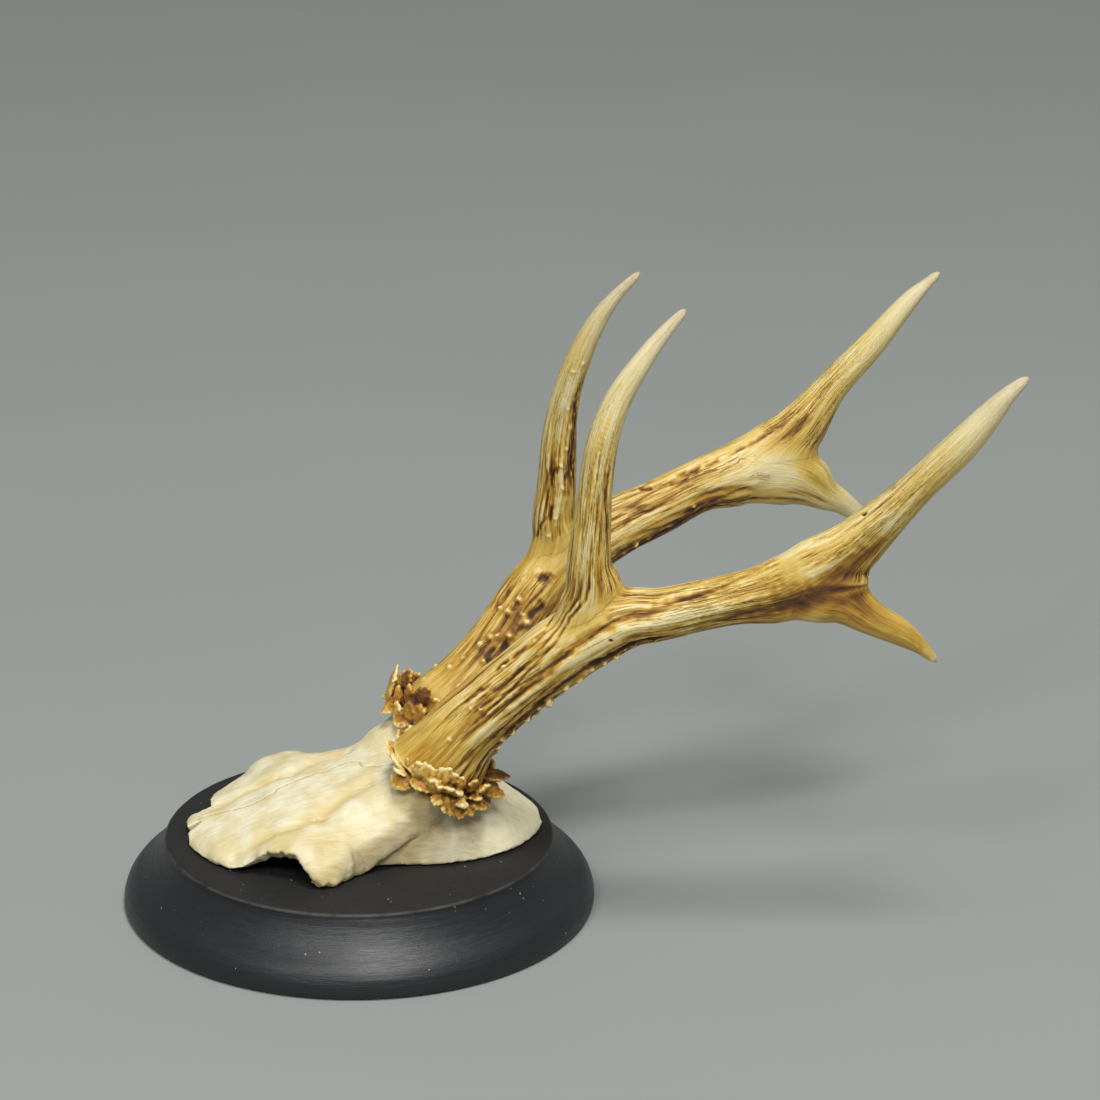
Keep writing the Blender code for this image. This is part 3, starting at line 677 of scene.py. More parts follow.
# %% The whole burr
def has_bare_plates(side, around):
    start, end = BARE_PLATES[side]
    return around > start or around < end


def model_collar(side):
    """The low cone that the lobes grow from, 6 mm deep."""
    centre, axis, _, _ = burr_axes(side)
    deselect_all()
    bpy.ops.mesh.primitive_cone_add(vertices=48, radius1=BURR_FOOT + 0.8, radius2=BURR_FOOT, depth=6.0)
    collar = bpy.context.active_object
    turn = Vector((0, 0, 1)).rotation_difference(axis).to_matrix().to_4x4()
    collar.data.transform(Matrix.Scale(MM, 4) @ Matrix.Translation(centre - axis * COLLAR_DROP) @ turn)
    return collar


def set_burr(name, pearl, side, lobes, seed):
    """A collar, its lobes and the beads between them, fused, and the notes for its colours."""
    shuffle = random.Random(seed)
    parts = [model_collar(side)]
    marks = {"sap": [], "tips": []}
    for lobe in (*lobes, *spare_lobes(side, shuffle)):
        parts += set_lobe(pearl, side, lobe, shuffle, marks)
    for index in range(BEADS_BETWEEN):
        around = 360.0 * (index + shuffle.uniform(-0.4, 0.4)) / BEADS_BETWEEN
        height = shuffle.uniform(-4.4, 2.4)
        place, outward, up = on_burr(side, around, BEAD_RING - 0.1 * height, height)
        size = shuffle.uniform(0.7, 1.2)
        lean = outward + up * shuffle.uniform(-0.3, 0.9)
        if has_bare_plates(side, around):
            continue
        parts.append(copy_of(pearl, seat(place, up - outward * 0.01, lean, size, size, size * 1.2)))
        marks["sap"].append((place, BEAD_SAP))
    return fuse(name, parts), marks


# %% [markdown]
# ## One antler
#
# Beam, brow tine, rear tine and the web between the last two overlap at the forks. One skin of small quads
# is laid over all four, which makes a single closed surface, and the forks are then evened out until they
# flow. Metaballs would blend too, but they can't hold a sharp tip. The burr gets a finer skin of its own,
# because its beads are smaller than the grain that is fine enough for the beam.

# %% Raw antlers
SKIN_GRAIN = 0.44              # mm
BURR_GRAIN = 0.28
RING_SPACING = 1.6             # between the rings that are extruded
COURSE_STEP = 0.5              # between the rings that patterns are laid out on
SHARED_RINGS = {"brow": 4, "rear": 9}      # beam rings that a tine's course shares from the burr up
STRAIGHT_FEET = {                          # the grain runs straight down into the burr, not round the flare
    1: ((13.2, 12.0, 38.5, 11.5, 11.5), (15.6, 20.5, 47.8, 10.8, 10.9)),
    -1: ((14.2, 14.6, 39.0, 10.4, 11.4), (16.2, 22.6, 46.4, 9.4, 10.6)),
}


def growth_courses(side, beam_rows, brow_rows, rear_rows):
    """The ways the antler grew: from the burr to the top point, and out along each tine."""
    beam_rows = (*STRAIGHT_FEET[side], *beam_rows[2:])
    return (
        Course(beam_rows, COURSE_STEP, side),
        Course((*beam_rows[:SHARED_RINGS["brow"]], *BROW_BENDS[side], *brow_rows[3:]), COURSE_STEP, side),
        Course((*beam_rows[:SHARED_RINGS["rear"]], *rear_rows), COURSE_STEP, side),
    )


def raw_antler(name, side, rows, web, pearls, brow_pearls, pearl):
    """The branches and pearls of one antler under one skin."""
    courses = growth_courses(side, *rows)
    parts = [grow_branch(name, Course(branch, RING_SPACING, side)) for branch in (*rows, web)]
    parts += set_pearls(pearl, courses[0], pearls)
    parts += set_pearls(pearl, courses[1], brow_pearls)
    antler = fuse(name, parts)
    skin_over(antler, SKIN_GRAIN)
    return antler


# %% Grow both antlers and their burrs
LEFT_ROWS = (LEFT_BEAM, LEFT_BROW, LEFT_REAR)
RIGHT_ROWS = (RIGHT_BEAM, RIGHT_BROW, RIGHT_REAR)
pearl = model_pearl()
left_antler = raw_antler("left_antler", 1, LEFT_ROWS, LEFT_WEB, LEFT_PEARLS, (), pearl)
right_antler = raw_antler(
    "right_antler", -1, RIGHT_ROWS, RIGHT_WEB, RIGHT_PEARLS, RIGHT_BROW_PEARLS, pearl,
)
left_burr, left_marks = set_burr("left_burr", pearl, 1, LEFT_LOBES, 5)
right_burr, right_marks = set_burr("right_burr", pearl, -1, RIGHT_LOBES, 9)
for burr in (left_burr, right_burr):
    skin_over(burr, BURR_GRAIN)
bpy.data.objects.remove(pearl)

# %% [markdown]
# ## Furrows that follow the growth
#
# While an antler grows, blood vessels lie on it and leave long furrows that run from the burr into each
# tine. So the pattern is worked out along three courses, from the burr to each of the three tips. Where
# two courses share the lower beam they agree, and where they part the pattern fades into a smooth web,
# as it does on the real antler. Sculpting by hand would do it too; noise in turned and stretched
# coordinates is quicker, and the same each time. The few marks that give each antler its character, such
# as a long groove, a torn dark band or a pale rubbed edge, are drawn on top as strokes.

# %% The pattern of one course
PARTING = 0.22                             # how sharply a point belongs to its nearest course
FURROW_DEPTH = 0.36                        # mm
FINE_FURROW_DEPTH = 0.14
FIBRE_DEPTH = 0.10
CORD_TOP = 0.8                             # how full a cord is where it is neither raised nor sunk
CALM_FOOT = (16.0, 34.0)                   # mm along a course where the nose side loses its calm


def billow(values, width):
    """Rounded cords with narrow grooves between them, from 0 in a groove to 1."""
    return np.minimum(np.abs(values) / width, 1.0)


def course_pattern(along, turn, seed):
    """The furrows of one course: deep, middle, fine, fibre, and patches where they run deeper."""
    round_once = np.stack([np.cos(turn), np.sin(turn)], axis=1)

    def grain(around, stretch, offset):
        return grain_at(np.column_stack([round_once * around, along / stretch]), seed + offset)

    wander = grain(1.2, 30.0, 0.0)[:, None] * 0.25 + grain(3.0, 6.0, 7.0)[:, None] * 0.06
    bent = np.column_stack([round_once * 2.6 + wander, along / 42.0])
    deep = billow(grain_at(bent, seed + 1.0), 0.24)
    middle = billow(grain(5.6, 18.0, 2.0), 0.26)
    fine = grain(11.0, 7.0, 3.0)
    fibre = grain(19.0, 9.0, 4.0)
    patch = grain(1.6, 20.0, 5.0)
    return deep, middle, fine, fibre, patch


# %% Which course a point belongs to
WEB_APART = (1.5, 4.5)                     # mm between two courses where a web begins and is full
WEB_SHARED = (0.04, 0.30)                  # the lesser course's share there


def shares_of(found, courses):
    """How much each point belongs to each course, and where courses part and leave a smooth web."""
    reach = np.stack([distance for _, _, distance in found])
    weight = np.exp(-((np.maximum(reach, 1.0) - 1.0) / PARTING) ** 2) + 1e-6
    weight /= weight.sum(axis=0)
    lines = [
        np.column_stack([np.interp(along, course.travelled, course.middle[:, axis]) for axis in range(3)])
        for course, (along, _, _) in zip(courses, found)
    ]
    web = np.zeros(len(reach[0]))
    for first, second in ((0, 1), (0, 2), (1, 2)):
        apart = rise(np.linalg.norm(lines[first] - lines[second], axis=1), *WEB_APART)
        shared = rise(np.minimum(weight[first], weight[second]), *WEB_SHARED)
        web = np.maximum(web, apart * shared)
    return weight, web


# %% Strokes along a course
STROKE_ENDS = 6.0                          # mm that a stroke may reach past its first and last place
WAVER_GRAIN = (3.0, 2.2)                   # mm round and along, the size of the waves in its edges
WAVER_MOST = 0.45                          # mm
LONGEST_TAPER = 9.0                        # mm over which a long stroke runs in


def stroke_at(found, courses, weight, stroke, seed):
    """Nearness to a stroke drawn along a course, 1 on its line. Its edges waver a little."""
    index, width = stroke[:2]
    places = np.array(stroke[4:], dtype=float)
    course = courses[index]
    along, turn, _ = found[index]
    marks = places[:, 0] * course.length
    order = np.argsort(marks)
    degrees = np.degrees(np.unwrap(np.radians(places[order, 1])))
    marks = marks[order]
    away = (turn - np.radians(np.interp(along, marks, degrees)) + math.pi) % math.tau - math.pi
    away = away * np.interp(along, course.travelled, (course.half_width + course.half_thick) / 2)
    near = (along > marks[0] - STROKE_ENDS) & (along < marks[-1] + STROKE_ENDS)
    near &= np.abs(away) < width * 4.0
    value = np.zeros(len(along))
    round_grain, along_grain = WAVER_GRAIN
    laid = np.column_stack([away[near] / round_grain, along[near] / along_grain, np.zeros(near.sum())])
    waver = grain_at(laid, seed)
    along_there, away_there = along[near], away[near] + waver * min(WAVER_MOST, 0.3 * width)
    ends = max(1.2, 0.8 * width)
    run_in = max(0.5 * ends, min(0.3 * (marks[-1] - marks[0]), LONGEST_TAPER))
    taper = rise(along_there + waver, marks[0] - ends, marks[0] + run_in)
    taper *= rise(along_there + waver, marks[-1] + ends, marks[-1] - run_in)
    value[near] = np.exp(-(away_there / width) ** 2) * taper * rise(weight[index][near], 0.1, 0.45)
    return value


# %% Furrows of all courses together
WEB_CALM = 0.7                             # share of the furrows and streaks that a web smooths away


def lay_furrows(found, weight, to_tips, web, seed):
    """Lift in mm, sap in the grooves, tone, rear side and lively skin of every point."""
    lift, groove, tone, rear, lively = (np.zeros(len(web)) for _ in range(5))
    for (along, turn, _), share, to_tip in zip(found, weight, to_tips):
        deep, middle, fine, fibre, patch = course_pattern(along, turn, seed)
        nose_side = rise(np.cos(turn), -0.55, 0.35)
        calm = 1.0 - 0.75 * nose_side * rise(along, CALM_FOOT[1], CALM_FOOT[0])
        ground = rise(to_tip, 4.0, 60.0) * calm
        strong = ground * (1.0 - 0.45 * rise(along, 60.0, 110.0))
        near_tip = rise(to_tip, 1.0, 12.0)
        spread = np.column_stack([np.cos(turn) * 3.4, np.sin(turn) * 3.4, along / 8.0])
        broken = rise(grain_at(spread, seed + 8.0), -0.25, 0.45)
        depth = FURROW_DEPTH * np.clip(0.75 + 0.6 * patch, 0.2, 1.35)
        fine_depth = FINE_FURROW_DEPTH * (0.4 + broken)
        lift += share * strong * (depth * (deep - CORD_TOP) + fine_depth * (middle - CORD_TOP))
        lift += share * (0.3 * near_tip + 0.7 * strong) * FIBRE_DEPTH * (fine + 0.5 * fibre)
        darker = rise(patch, -0.3, 0.6)
        groove += share * ground * (1.0 - deep) * (0.25 + 0.30 * darker + 0.45 * broken)
        groove += share * ground * (1.0 - middle) * (0.10 + 0.40 * broken * darker)
        tone += share * patch
        lively += share * calm * (1.0 - WEB_CALM * web)
        rear += share * rise(-np.cos(turn), 0.35, 0.95) * rise(to_tip, 40.0, 100.0)
    lift *= 1.0 - WEB_CALM * web
    groove *= 1.0 - 0.75 * web
    return lift, groove, tone, rear, lively


# %% Carve an antler
KNOB_DEPTH = 0.55                          # mm
REAR_SAP_AND_SHADE = 0.16                            # the rear side is browner: partly sap, partly painted shade
SOFT_STROKE = 2.9                          # mm; wider strokes are soft shades, narrower ones are rough
GRAIN_GIRTH = 8.0                          # mm, the radius that streaks are laid out on
WEB_ROUNDS = 60                            # evening of the webs where courses part
CREST_ROUNDS = 12                          # evening that shows what stands out of the skin near it
SWELL_ROUNDS = 70                          # evening that shows what stands out of the skin further off


def smooth_forks(antler, edges, points, web):
    """Even the skin, most of all where the courses part."""
    points = evened(points, edges, WEB_ROUNDS, share=0.5 * web)
    set_points(antler, evened(points, edges, 2, share=0.35))


def keep_relief(piece, edges, crest_rounds, swell_rounds=0):
    """Keep how far each point stands out of the skin near it, and out of the skin further off."""
    points, normals = points_of(piece), normals_of(piece)
    near = evened(points, edges, crest_rounds)
    store(piece, "crest", np.einsum("ij,ij->i", points - near, normals))
    if swell_rounds:
        broad = evened(near, edges, swell_rounds)
        store(piece, "swell", np.einsum("ij,ij->i", near - broad, normals))


def carve_antler(antler, side, rows, strokes, seed):
    courses = growth_courses(side, *rows)
    edges = edges_of(antler)
    points = points_of(antler)
    found = [course.locate(points) for course in courses]
    weight, web = shares_of(found, courses)
    web = np.clip(evened(web, edges, 24) * 1.3, 0.0, 1.0)
    to_tips = np.stack([course.length - along for course, (along, _, _) in zip(courses, found)])
    smooth_forks(antler, edges, points, web)
    lift, groove, tone, rear, lively = lay_furrows(found, weight, to_tips, web, seed)

    owner = weight.argmax(axis=0)
    along, turn = (np.choose(owner, [values[part] for values in found]) for part in range(2))
    laid_out = np.column_stack([np.cos(turn) * GRAIN_GIRTH, np.sin(turn) * GRAIN_GIRTH, along])
    torn = 0.35 + 0.85 * rise(grain_at(laid_out / np.array((0.9, 0.9, 5.0)), seed + 9.0), -0.4, 0.5)
    # Painted shade, partly sap: the rear side is browner.
    stain_and_shade = REAR_SAP_AND_SHADE * rear
    rough_skin = 0.6 * stain_and_shade
    for number, stroke in enumerate(strokes):
        _, width, raised, sap, *_ = stroke
        value = stroke_at(found, courses, weight, stroke, seed + number)
        lift += raised * value
        if 0.0 < sap < 1.0 and width < SOFT_STROKE:
            rough_skin = np.maximum(rough_skin, sap * value)
            stain_and_shade += sap * value * torn
        else:
            stain_and_shade += sap * value
        groove *= 1.0 - 0.4 * value
    knobs = rise(grain_at(laid_out / np.array((1.5, 1.5, 2.6)), seed + 6.0), -0.1, 0.8)
    lift += KNOB_DEPTH * np.clip(rough_skin, 0.0, 0.7) * (knobs - 0.3)
    push(antler, lift)

    keep_relief(antler, edges, CREST_ROUNDS, SWELL_ROUNDS)
    kept = {
        "grain": laid_out, "groove": groove, "stain_and_shade": np.clip(stain_and_shade, -0.5, 1.0), "tone": tone,
        "to_tip": (to_tips * weight).sum(axis=0), "web": web, "lively": lively,
        "from_burr": (np.stack([along for along, _, _ in found]) * weight).sum(axis=0),
    }
    for name, values in kept.items():
        store(antler, name, values)
    print(antler.name, "carved, deepest", round(float(-lift.min()), 2), "mm; length",
          round(courses[0].length), "mm")


# %% [markdown]
# ## Strokes on the antlers
#
# Each row is one stroke: its course (0 the beam, 1 the brow tine, 2 the rear tine), its half width and its
# lift in mm, and the sap left in it, below 0 where it was rubbed pale. Then come the places that it passes:
# share of the course's length, and degrees round. The wide dark strokes on the lower web of the left antler's
# fork hold painted shade as well as sap. Lines drawn on the skin by hand would be as good.

# %% The strokes of both antlers
LEFT_STROKES = (
    (0, 2.6, 0.30, -0.10, (0.039, 14), (0.113, 342), (0.177, 332), (0.25, 337), (0.305, 15)),
    (0, 0.9, -0.6, 0.55, (0.146, 327), (0.169, 325), (0.19, 323)),
    (0, 0.55, -0.45, 0.42, (0.161, 312), (0.18, 312)),
    (0, 0.7, -0.4, 0.51, (0.209, 338), (0.228, 337)),
    (0, 0.8, -0.5, 0.55, (0.235, 335), (0.252, 335), (0.267, 334)),
    (0, 0.6, -0.4, 0.51, (0.272, 335), (0.286, 336)),
    (0, 0.9, -0.5, 0.51, (0.293, 347), (0.305, 365)),
    (0, 0.5, -0.4, 0.47, (0.209, 283), (0.224, 283)),
    (0, 1.0, -0.5, 0.22, (0.106, 294), (0.147, 297), (0.192, 302), (0.233, 306), (0.271, 306), (0.298, 308)),
    (0, 1.5, -0.85, 0.20, (0.113, 278), (0.146, 280), (0.202, 276), (0.265, 277), (0.323, 287), (0.371, 292),
     (0.398, 293), (0.455, 318), (0.53, 321)),
    (0, 2.0, 0.45, -0.10, (0.119, 267), (0.17, 272), (0.227, 267), (0.286, 268), (0.34, 266), (0.4, 268),
     (0.478, 291)),
    (0, 1.3, -0.6, 0.55, (0.134, 222), (0.16, 232), (0.191, 233), (0.229, 236), (0.267, 240), (0.31, 238),
     (0.348, 232), (0.396, 229), (0.445, 236)),
    (0, 0.7, -0.7, 0.51, (0.087, 226), (0.118, 226), (0.141, 224)),
    (0, 0.6, -0.6, 0.42, (0.08, 214), (0.115, 212)),
    (0, 0.7, -0.5, 0.30, (0.089, 255), (0.113, 254), (0.142, 251), (0.175, 246)),
    (0, 2.4, 0.45, -0.06, (0.462, 271), (0.502, 274), (0.552, 282), (0.611, 286), (0.678, 284), (0.739, 286),
     (0.791, 283)),
    (0, 2.8, -0.45, 0.10, (0.458, 241), (0.499, 248), (0.549, 259), (0.603, 264), (0.671, 260), (0.739, 256)),
    (0, 1.2, 0.1, 0.26, (0.423, 8), (0.50, 356), (0.628, 333)),
    (0, 0.5, -0.3, 0.30, (0.448, 320), (0.485, 323)),
    (1, 0.7, -0.55, 0.42, (0.56, 215), (0.608, 223), (0.654, 235), (0.72, 240)),
    (1, 1.6, -0.2, 0.19, (0.573, 249), (0.635, 270), (0.674, 290)),
    (0, 0.45, -1.0, 1.0, (0.7315, 338), (0.7335, 337)), (0, 0.45, -1.0, 1.0, (0.358, 265), (0.36, 265)),
    # Brown stain and painted shade on the lower web of the fork, which faces down, in the next three strokes:
    (2, 5.5, -0.2, 0.24, (0.62, 250), (0.72, 254), (0.80, 278), (0.85, 285)),
    (2, 6.5, 0.0, 0.36, (0.80, 285), (0.87, 284), (0.923, 270), (0.97, 262), (1.02, 262)),
    (0, 3.4, -0.3, 0.30, (0.56, 250), (0.599, 252), (0.635, 250), (0.69, 254), (0.75, 246)),
    (1, 0.5, -0.5, 0.34, (0.16, 288), (0.24, 291), (0.32, 296), (0.40, 302), (0.445, 303), (0.485, 286),
     (0.53, 275), (0.60, 272)),
    (1, 0.5, -0.4, 0.30, (0.20, 306), (0.30, 309), (0.40, 316), (0.445, 316), (0.485, 301), (0.54, 290)),
    (1, 0.4, -0.3, 0.26, (0.20, 326), (0.30, 328), (0.40, 331), (0.485, 320), (0.56, 308)),
    (0, 3.2, 0.0, -0.10, (0.35, 318), (0.37, 318), (0.40, 325)),
    (1, 3.6, 0.0, -0.08, (0.455, 262), (0.485, 268), (0.515, 246)),
)
RIGHT_STROKES = (
    (0, 2.4, -1.1, 0.64, (0.149, 71), (0.165, 71), (0.183, 77), (0.196, 81)),
    (0, 1.4, -0.5, 0.42, (0.204, 76), (0.222, 81)),
    (0, 1.5, -0.9, 0.72, (0.231, 82), (0.248, 87), (0.267, 88)),
    (0, 1.3, -0.6, 0.77, (0.288, 65), (0.298, 68)), (0, 0.5, -0.35, 0.51, (0.239, 22), (0.255, 21)),
    (1, 0.5, -0.35, 0.51, (0.465, 31), (0.483, 37)), (1, 0.5, -0.35, 0.51, (0.491, 44), (0.502, 55)),
    (1, 2.0, -0.35, 0.24, (0.506, 58), (0.54, 61), (0.588, 65), (0.635, 71), (0.663, 73)),
    (1, 0.6, -0.3, 0.51, (0.602, 80), (0.593, 80)), (1, 0.6, -0.3, 0.51, (0.592, 68), (0.577, 66)),
    (1, 0.8, -0.3, 0.42, (0.528, 72), (0.507, 71)),
    (1, 0.7, 0.25, 0.10, (0.806, 109), (0.763, 105), (0.721, 97), (0.679, 112), (0.645, 105), (0.608, 90),
     (0.561, 98), (0.504, 90), (0.462, 70)),
    (1, 1.8, -0.7, 0.64, (0.788, 143), (0.739, 138), (0.673, 150), (0.631, 140), (0.588, 124), (0.54, 124)),
    (1, 0.5, 0.35, -0.07, (0.638, 49), (0.59, 47)), (1, 0.5, 0.35, -0.07, (0.547, 49), (0.5, 45)),
    (0, 0.9, -0.4, 0.51, (0.464, 13), (0.479, 23)), (0, 1.2, -0.5, 0.51, (0.524, 25), (0.55, 29)),
    (0, 1.0, -0.4, 0.51, (0.556, 29), (0.573, 32)), (0, 1.0, -0.4, 0.42, (0.502, 38), (0.537, 49)),
    (0, 0.6, -0.3, 0.30, (0.577, 33), (0.601, 33), (0.641, 37), (0.683, 40), (0.729, 43)),
    (0, 2.4, -0.3, 0.53, (0.36, 128), (0.402, 130), (0.448, 139), (0.494, 136), (0.544, 133), (0.591, 137)),
    (0, 0.6, -0.4, 0.26, (0.397, 74), (0.452, 69), (0.506, 70)),
    (0, 0.7, -0.35, 0.30, (0.518, 95), (0.563, 94), (0.61, 104)),
    (0, 6.0, 0.0, 0.09, (0.073, 32), (0.109, 33), (0.16, 33), (0.2, 26)),
    (0, 5.5, 0.0, -0.14, (0.56, 66), (0.61, 72), (0.65, 98), (0.68, 110)),
    (2, 5.0, 0.0, -0.15, (0.67, 72), (0.72, 70), (0.77, 78), (0.83, 96)),
    (2, 0.5, -0.25, 0.20, (0.56, 104), (0.63, 112), (0.70, 110), (0.74, 118)),
    (2, 0.4, -0.20, 0.16, (0.78, 112), (0.83, 106), (0.88, 100)),
    (2, 0.6, -0.30, 0.26, (0.62, 128), (0.68, 136), (0.76, 134), (0.84, 130)),
    (1, 3.2, 0.0, -0.12, (0.58, 38), (0.70, 58), (0.79, 60)),
)

# %% Carve both antlers
carve_antler(left_antler, 1, LEFT_ROWS, LEFT_STROKES, 2)
carve_antler(right_antler, -1, RIGHT_ROWS, RIGHT_STROKES, 6)

# %% [markdown]
# ## The surface of the burrs
#
# A burr's beads are rubbed pale at their tips, and the gaps next to the beam are darker, partly with sap and
# partly with painted shade. Each point of the skin takes its sap from the three nearest notes that the lobes
# left while they were set. Painting it by hand would be slow on four hundred beads.

# %% Burr surface
RECESS = (12.2, 14.0)          # between these distances from the axis the gaps of a burr darken, partly with sap, partly with painted shade
BURR_CREST_ROUNDS = 22
BURR_SWELL_ROUNDS = 110
TIP_SIZE = 0.6                 # mm round a bead's tip that is rubbed pale


def nearest_marks(points, marks):
    """The sap of the three nearest lobe marks, and how near the next bead's tip is, for each point."""
    sap_tree, tip_tree = kdtree.KDTree(len(marks["sap"])), kdtree.KDTree(len(marks["tips"]))
    for index, (place, _) in enumerate(marks["sap"]):
        sap_tree.insert(place, index)
    for index, place in enumerate(marks["tips"]):
        tip_tree.insert(place, index)
    sap_tree.balance()
    tip_tree.balance()
    sap = np.zeros(len(points))
    to_tip = np.zeros(len(points))
    for number, point in enumerate(points.tolist()):
        close = [(1.0 / (distance * distance + 0.4), marks["sap"][index][1])
                 for _, index, distance in sap_tree.find_n(point, 3)]
        sap[number] = sum(share * value for share, value in close) / sum(share for share, _ in close)
        to_tip[number] = tip_tree.find(point)[2]
    return sap, to_tip


def carve_burr(burr, side, marks, seed):
    edges = edges_of(burr)
    points = evened(points_of(burr), edges, 2)
    set_points(burr, points)
    push(burr, grain_at(points / 2.4, seed) * 0.14 + grain_at(points / 1.0, seed + 1) * 0.09)
    keep_relief(burr, edges, BURR_CREST_ROUNDS, BURR_SWELL_ROUNDS)
    points = points_of(burr)
    centre, axis, _, _ = burr_axes(side)
    offset = points - np.array(centre)
    height = offset @ np.array(axis)
    radius = np.linalg.norm(offset - height[:, None] * np.array(axis), axis=1)
    store(burr, "recess", rise(radius, RECESS[1], RECESS[0]))
    sap, to_tip = nearest_marks(points, marks)
    store(burr, "sap", evened(sap, edges, 6))
    store(burr, "rubbed", rise(to_tip, 1.6 * TIP_SIZE, 0.4 * TIP_SIZE))
    print(burr.name, "carved,", len(marks["tips"]), "tips")


carve_burr(left_burr, 1, left_marks, 3)
carve_burr(right_burr, -1, right_marks, 8)

# %% [markdown]
# ## The skull cap
#
# The cap is a bowl of bone about 3 mm thick, turned upside down. It is made of two sheets that meet
# behind the eye sockets: the forehead in front, with an arch over each socket and a crest that runs from
# the process behind the socket up to the pedicle, and the low dome of the braincase behind. Each sheet
# is a flat grid draped over arches that are read from a few sections, and Solidify gives it the thickness
# of bone. The pedicles, the bony stumps that carry the antlers, are grown like branches. One skin closes
# over all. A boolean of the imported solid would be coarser, because its arches have few steps.

# %% Sections of the cap, nose to nape
CAP_FLOOR = 19.9
BONE = 2.8
# y, half width at the floor, height of the middle, fullness of the arch (2 an ellipse, more a flat top)
FOREHEAD = (
    (-47.3, 7.0, 2.4, 2.0),
    (-44.6, 14.0, 3.8, 2.1),
    (-40.5, 20.6, 5.6, 2.2),
    (-36.0, 24.8, 7.2, 2.4),
    (-30.0, 29.8, 9.4, 2.5),
    (-24.0, 34.2, 12.0, 2.5),
    (-18.5, 37.2, 14.0, 2.4),
    (-14.3, 38.6, 15.3, 2.1),
    (-11.0, 38.2, 16.0, 2.0),
    (-8.4, 36.9, 16.7, 2.0),
    (-6.2, 34.8, 17.3, 2.1),
    (-3.9, 32.6, 17.9, 2.2),
    (-1.0, 31.2, 18.8, 2.4),
    (3.0, 30.2, 20.0, 2.7),
    (8.5, 28.8, 21.0, 2.8),
    (13.0, 27.8, 20.8, 2.8),
    (17.0, 27.2, 20.2, 2.8),
)
BRAINCASE = (
    (-11.5, 36.6, 12.0, 1.6),
    (-8.0, 34.8, 14.2, 1.6),
    (-4.0, 30.6, 16.4, 1.75),
    (-1.0, 27.6, 18.2, 1.9),
    (3.0, 26.7, 20.2, 2.0),
    (10.0, 27.0, 21.4, 2.0),
    (20.0, 27.4, 20.0, 2.0),
    (30.0, 25.6, 15.6, 2.0),
    (37.0, 22.4, 11.4, 2.0),
    (43.0, 17.6, 7.4, 2.1),
    (47.0, 12.4, 4.4, 2.2),
    (49.2, 8.2, 2.8, 2.3),
    (50.6, 4.0, 1.6, 2.4),
)
# Height of the forehead's lower edge over the floor: an arch over the eye socket, then the crest. y, lift
FOREHEAD_EDGE = (
    (-37.6, 0.0), (-34.3, 1.6), (-31.7, 3.4), (-29.6, 4.9), (-27.4, 6.3), (-24.0, 7.0), (-21.2, 7.5),
    (-19.5, 7.3), (-18.9, 6.4), (-18.1, 5.0), (-16.6, 3.0), (-15.4, 1.3), (-14.2, 0.0), (-11.0, 0.0),
    (-2.0, 0.0), (0.5, 0.8), (3.0, 2.8), (8.5, 5.8), (13.0, 8.0), (17.0, 10.0),
)
SOCKET_ROWS = 13               # the first rows of the edge, up to the end of the eye socket
DRAPE_ACROSS = 150
DRAPE_ALONG = 150
RAGGED = 0.012                 # how uneven the saw and the knife left the lower edge


def section_values(sections, depths):
    """Half width, height and fullness of the arch at each y."""
    steps = np.linspace(0, len(sections) - 1, FINE_STEPS * len(sections))
    fine = np.array([between(sections, step) for step in steps])
    return [np.interp(depths, fine[:, 0], fine[:, column]) for column in (1, 2, 3)]


def drape(name, sections, edge):
    """A grid laid over the arches, down to its lower edge on both sides."""
    deselect_all()
    bpy.ops.mesh.primitive_grid_add(x_subdivisions=DRAPE_ACROSS, y_subdivisions=DRAPE_ALONG, size=2.0)
    sheet = bpy.context.active_object
    sheet.name = name
    flat = np.array([vertex.co[:] for vertex in sheet.data.vertices])
    depths = np.interp(flat[:, 1], (-1, 1), (sections[0][0], sections[-1][0]))
    half_width, height, fullness = section_values(sections, depths)
    ragged = np.column_stack([np.sign(flat[:, 0]) * 4.0, depths / 1.7, np.zeros(len(depths))])
    half_width *= 1.0 + RAGGED * grain_at(ragged, 31)
    lifted = np.interp(depths, [row[0] for row in edge], [row[1] for row in edge])
    lifted *= 1.0 + 4.0 * RAGGED * grain_at(ragged * 1.3, 32)
    start = np.arcsin(np.clip(lifted / height, 0.0, 1.0) ** (fullness / 2))
    turn = start + (math.pi - 2 * start) * (1 - flat[:, 0]) / 2
    across = np.sign(np.cos(turn)) * np.abs(np.cos(turn)) ** (2 / fullness)
    up = np.clip(np.sin(turn), 0, 1) ** (2 / fullness)
    places = np.column_stack([SKULL_MIDDLE + half_width * across, depths, CAP_FLOOR + height * up])
    set_points(sheet, places)
    return sheet


# %% Break the nose edge
NOSE_STEP = (-9.2, -41.0)      # the right nasal corner is broken off: x, y
NOSE_SLIT = (-1.2, -43.6)      # a narrow slit beside the nasal tongue: x, y of its end
NOSE_SLIT_WIDTH = 0.85


def is_broken(x, y):
    wobble = 0.8 * noise.noise((x * 0.5, y * 0.5, 3.0))
    if x + wobble < NOSE_STEP[0] and y + wobble < NOSE_STEP[1] + 0.12 * (NOSE_STEP[0] - x):
        return True
    opening = NOSE_SLIT_WIDTH + 0.28 * (NOSE_SLIT[1] - y)
    return y < NOSE_SLIT[1] and abs(x - NOSE_SLIT[0] + 0.15 * (y - NOSE_SLIT[1])) < opening


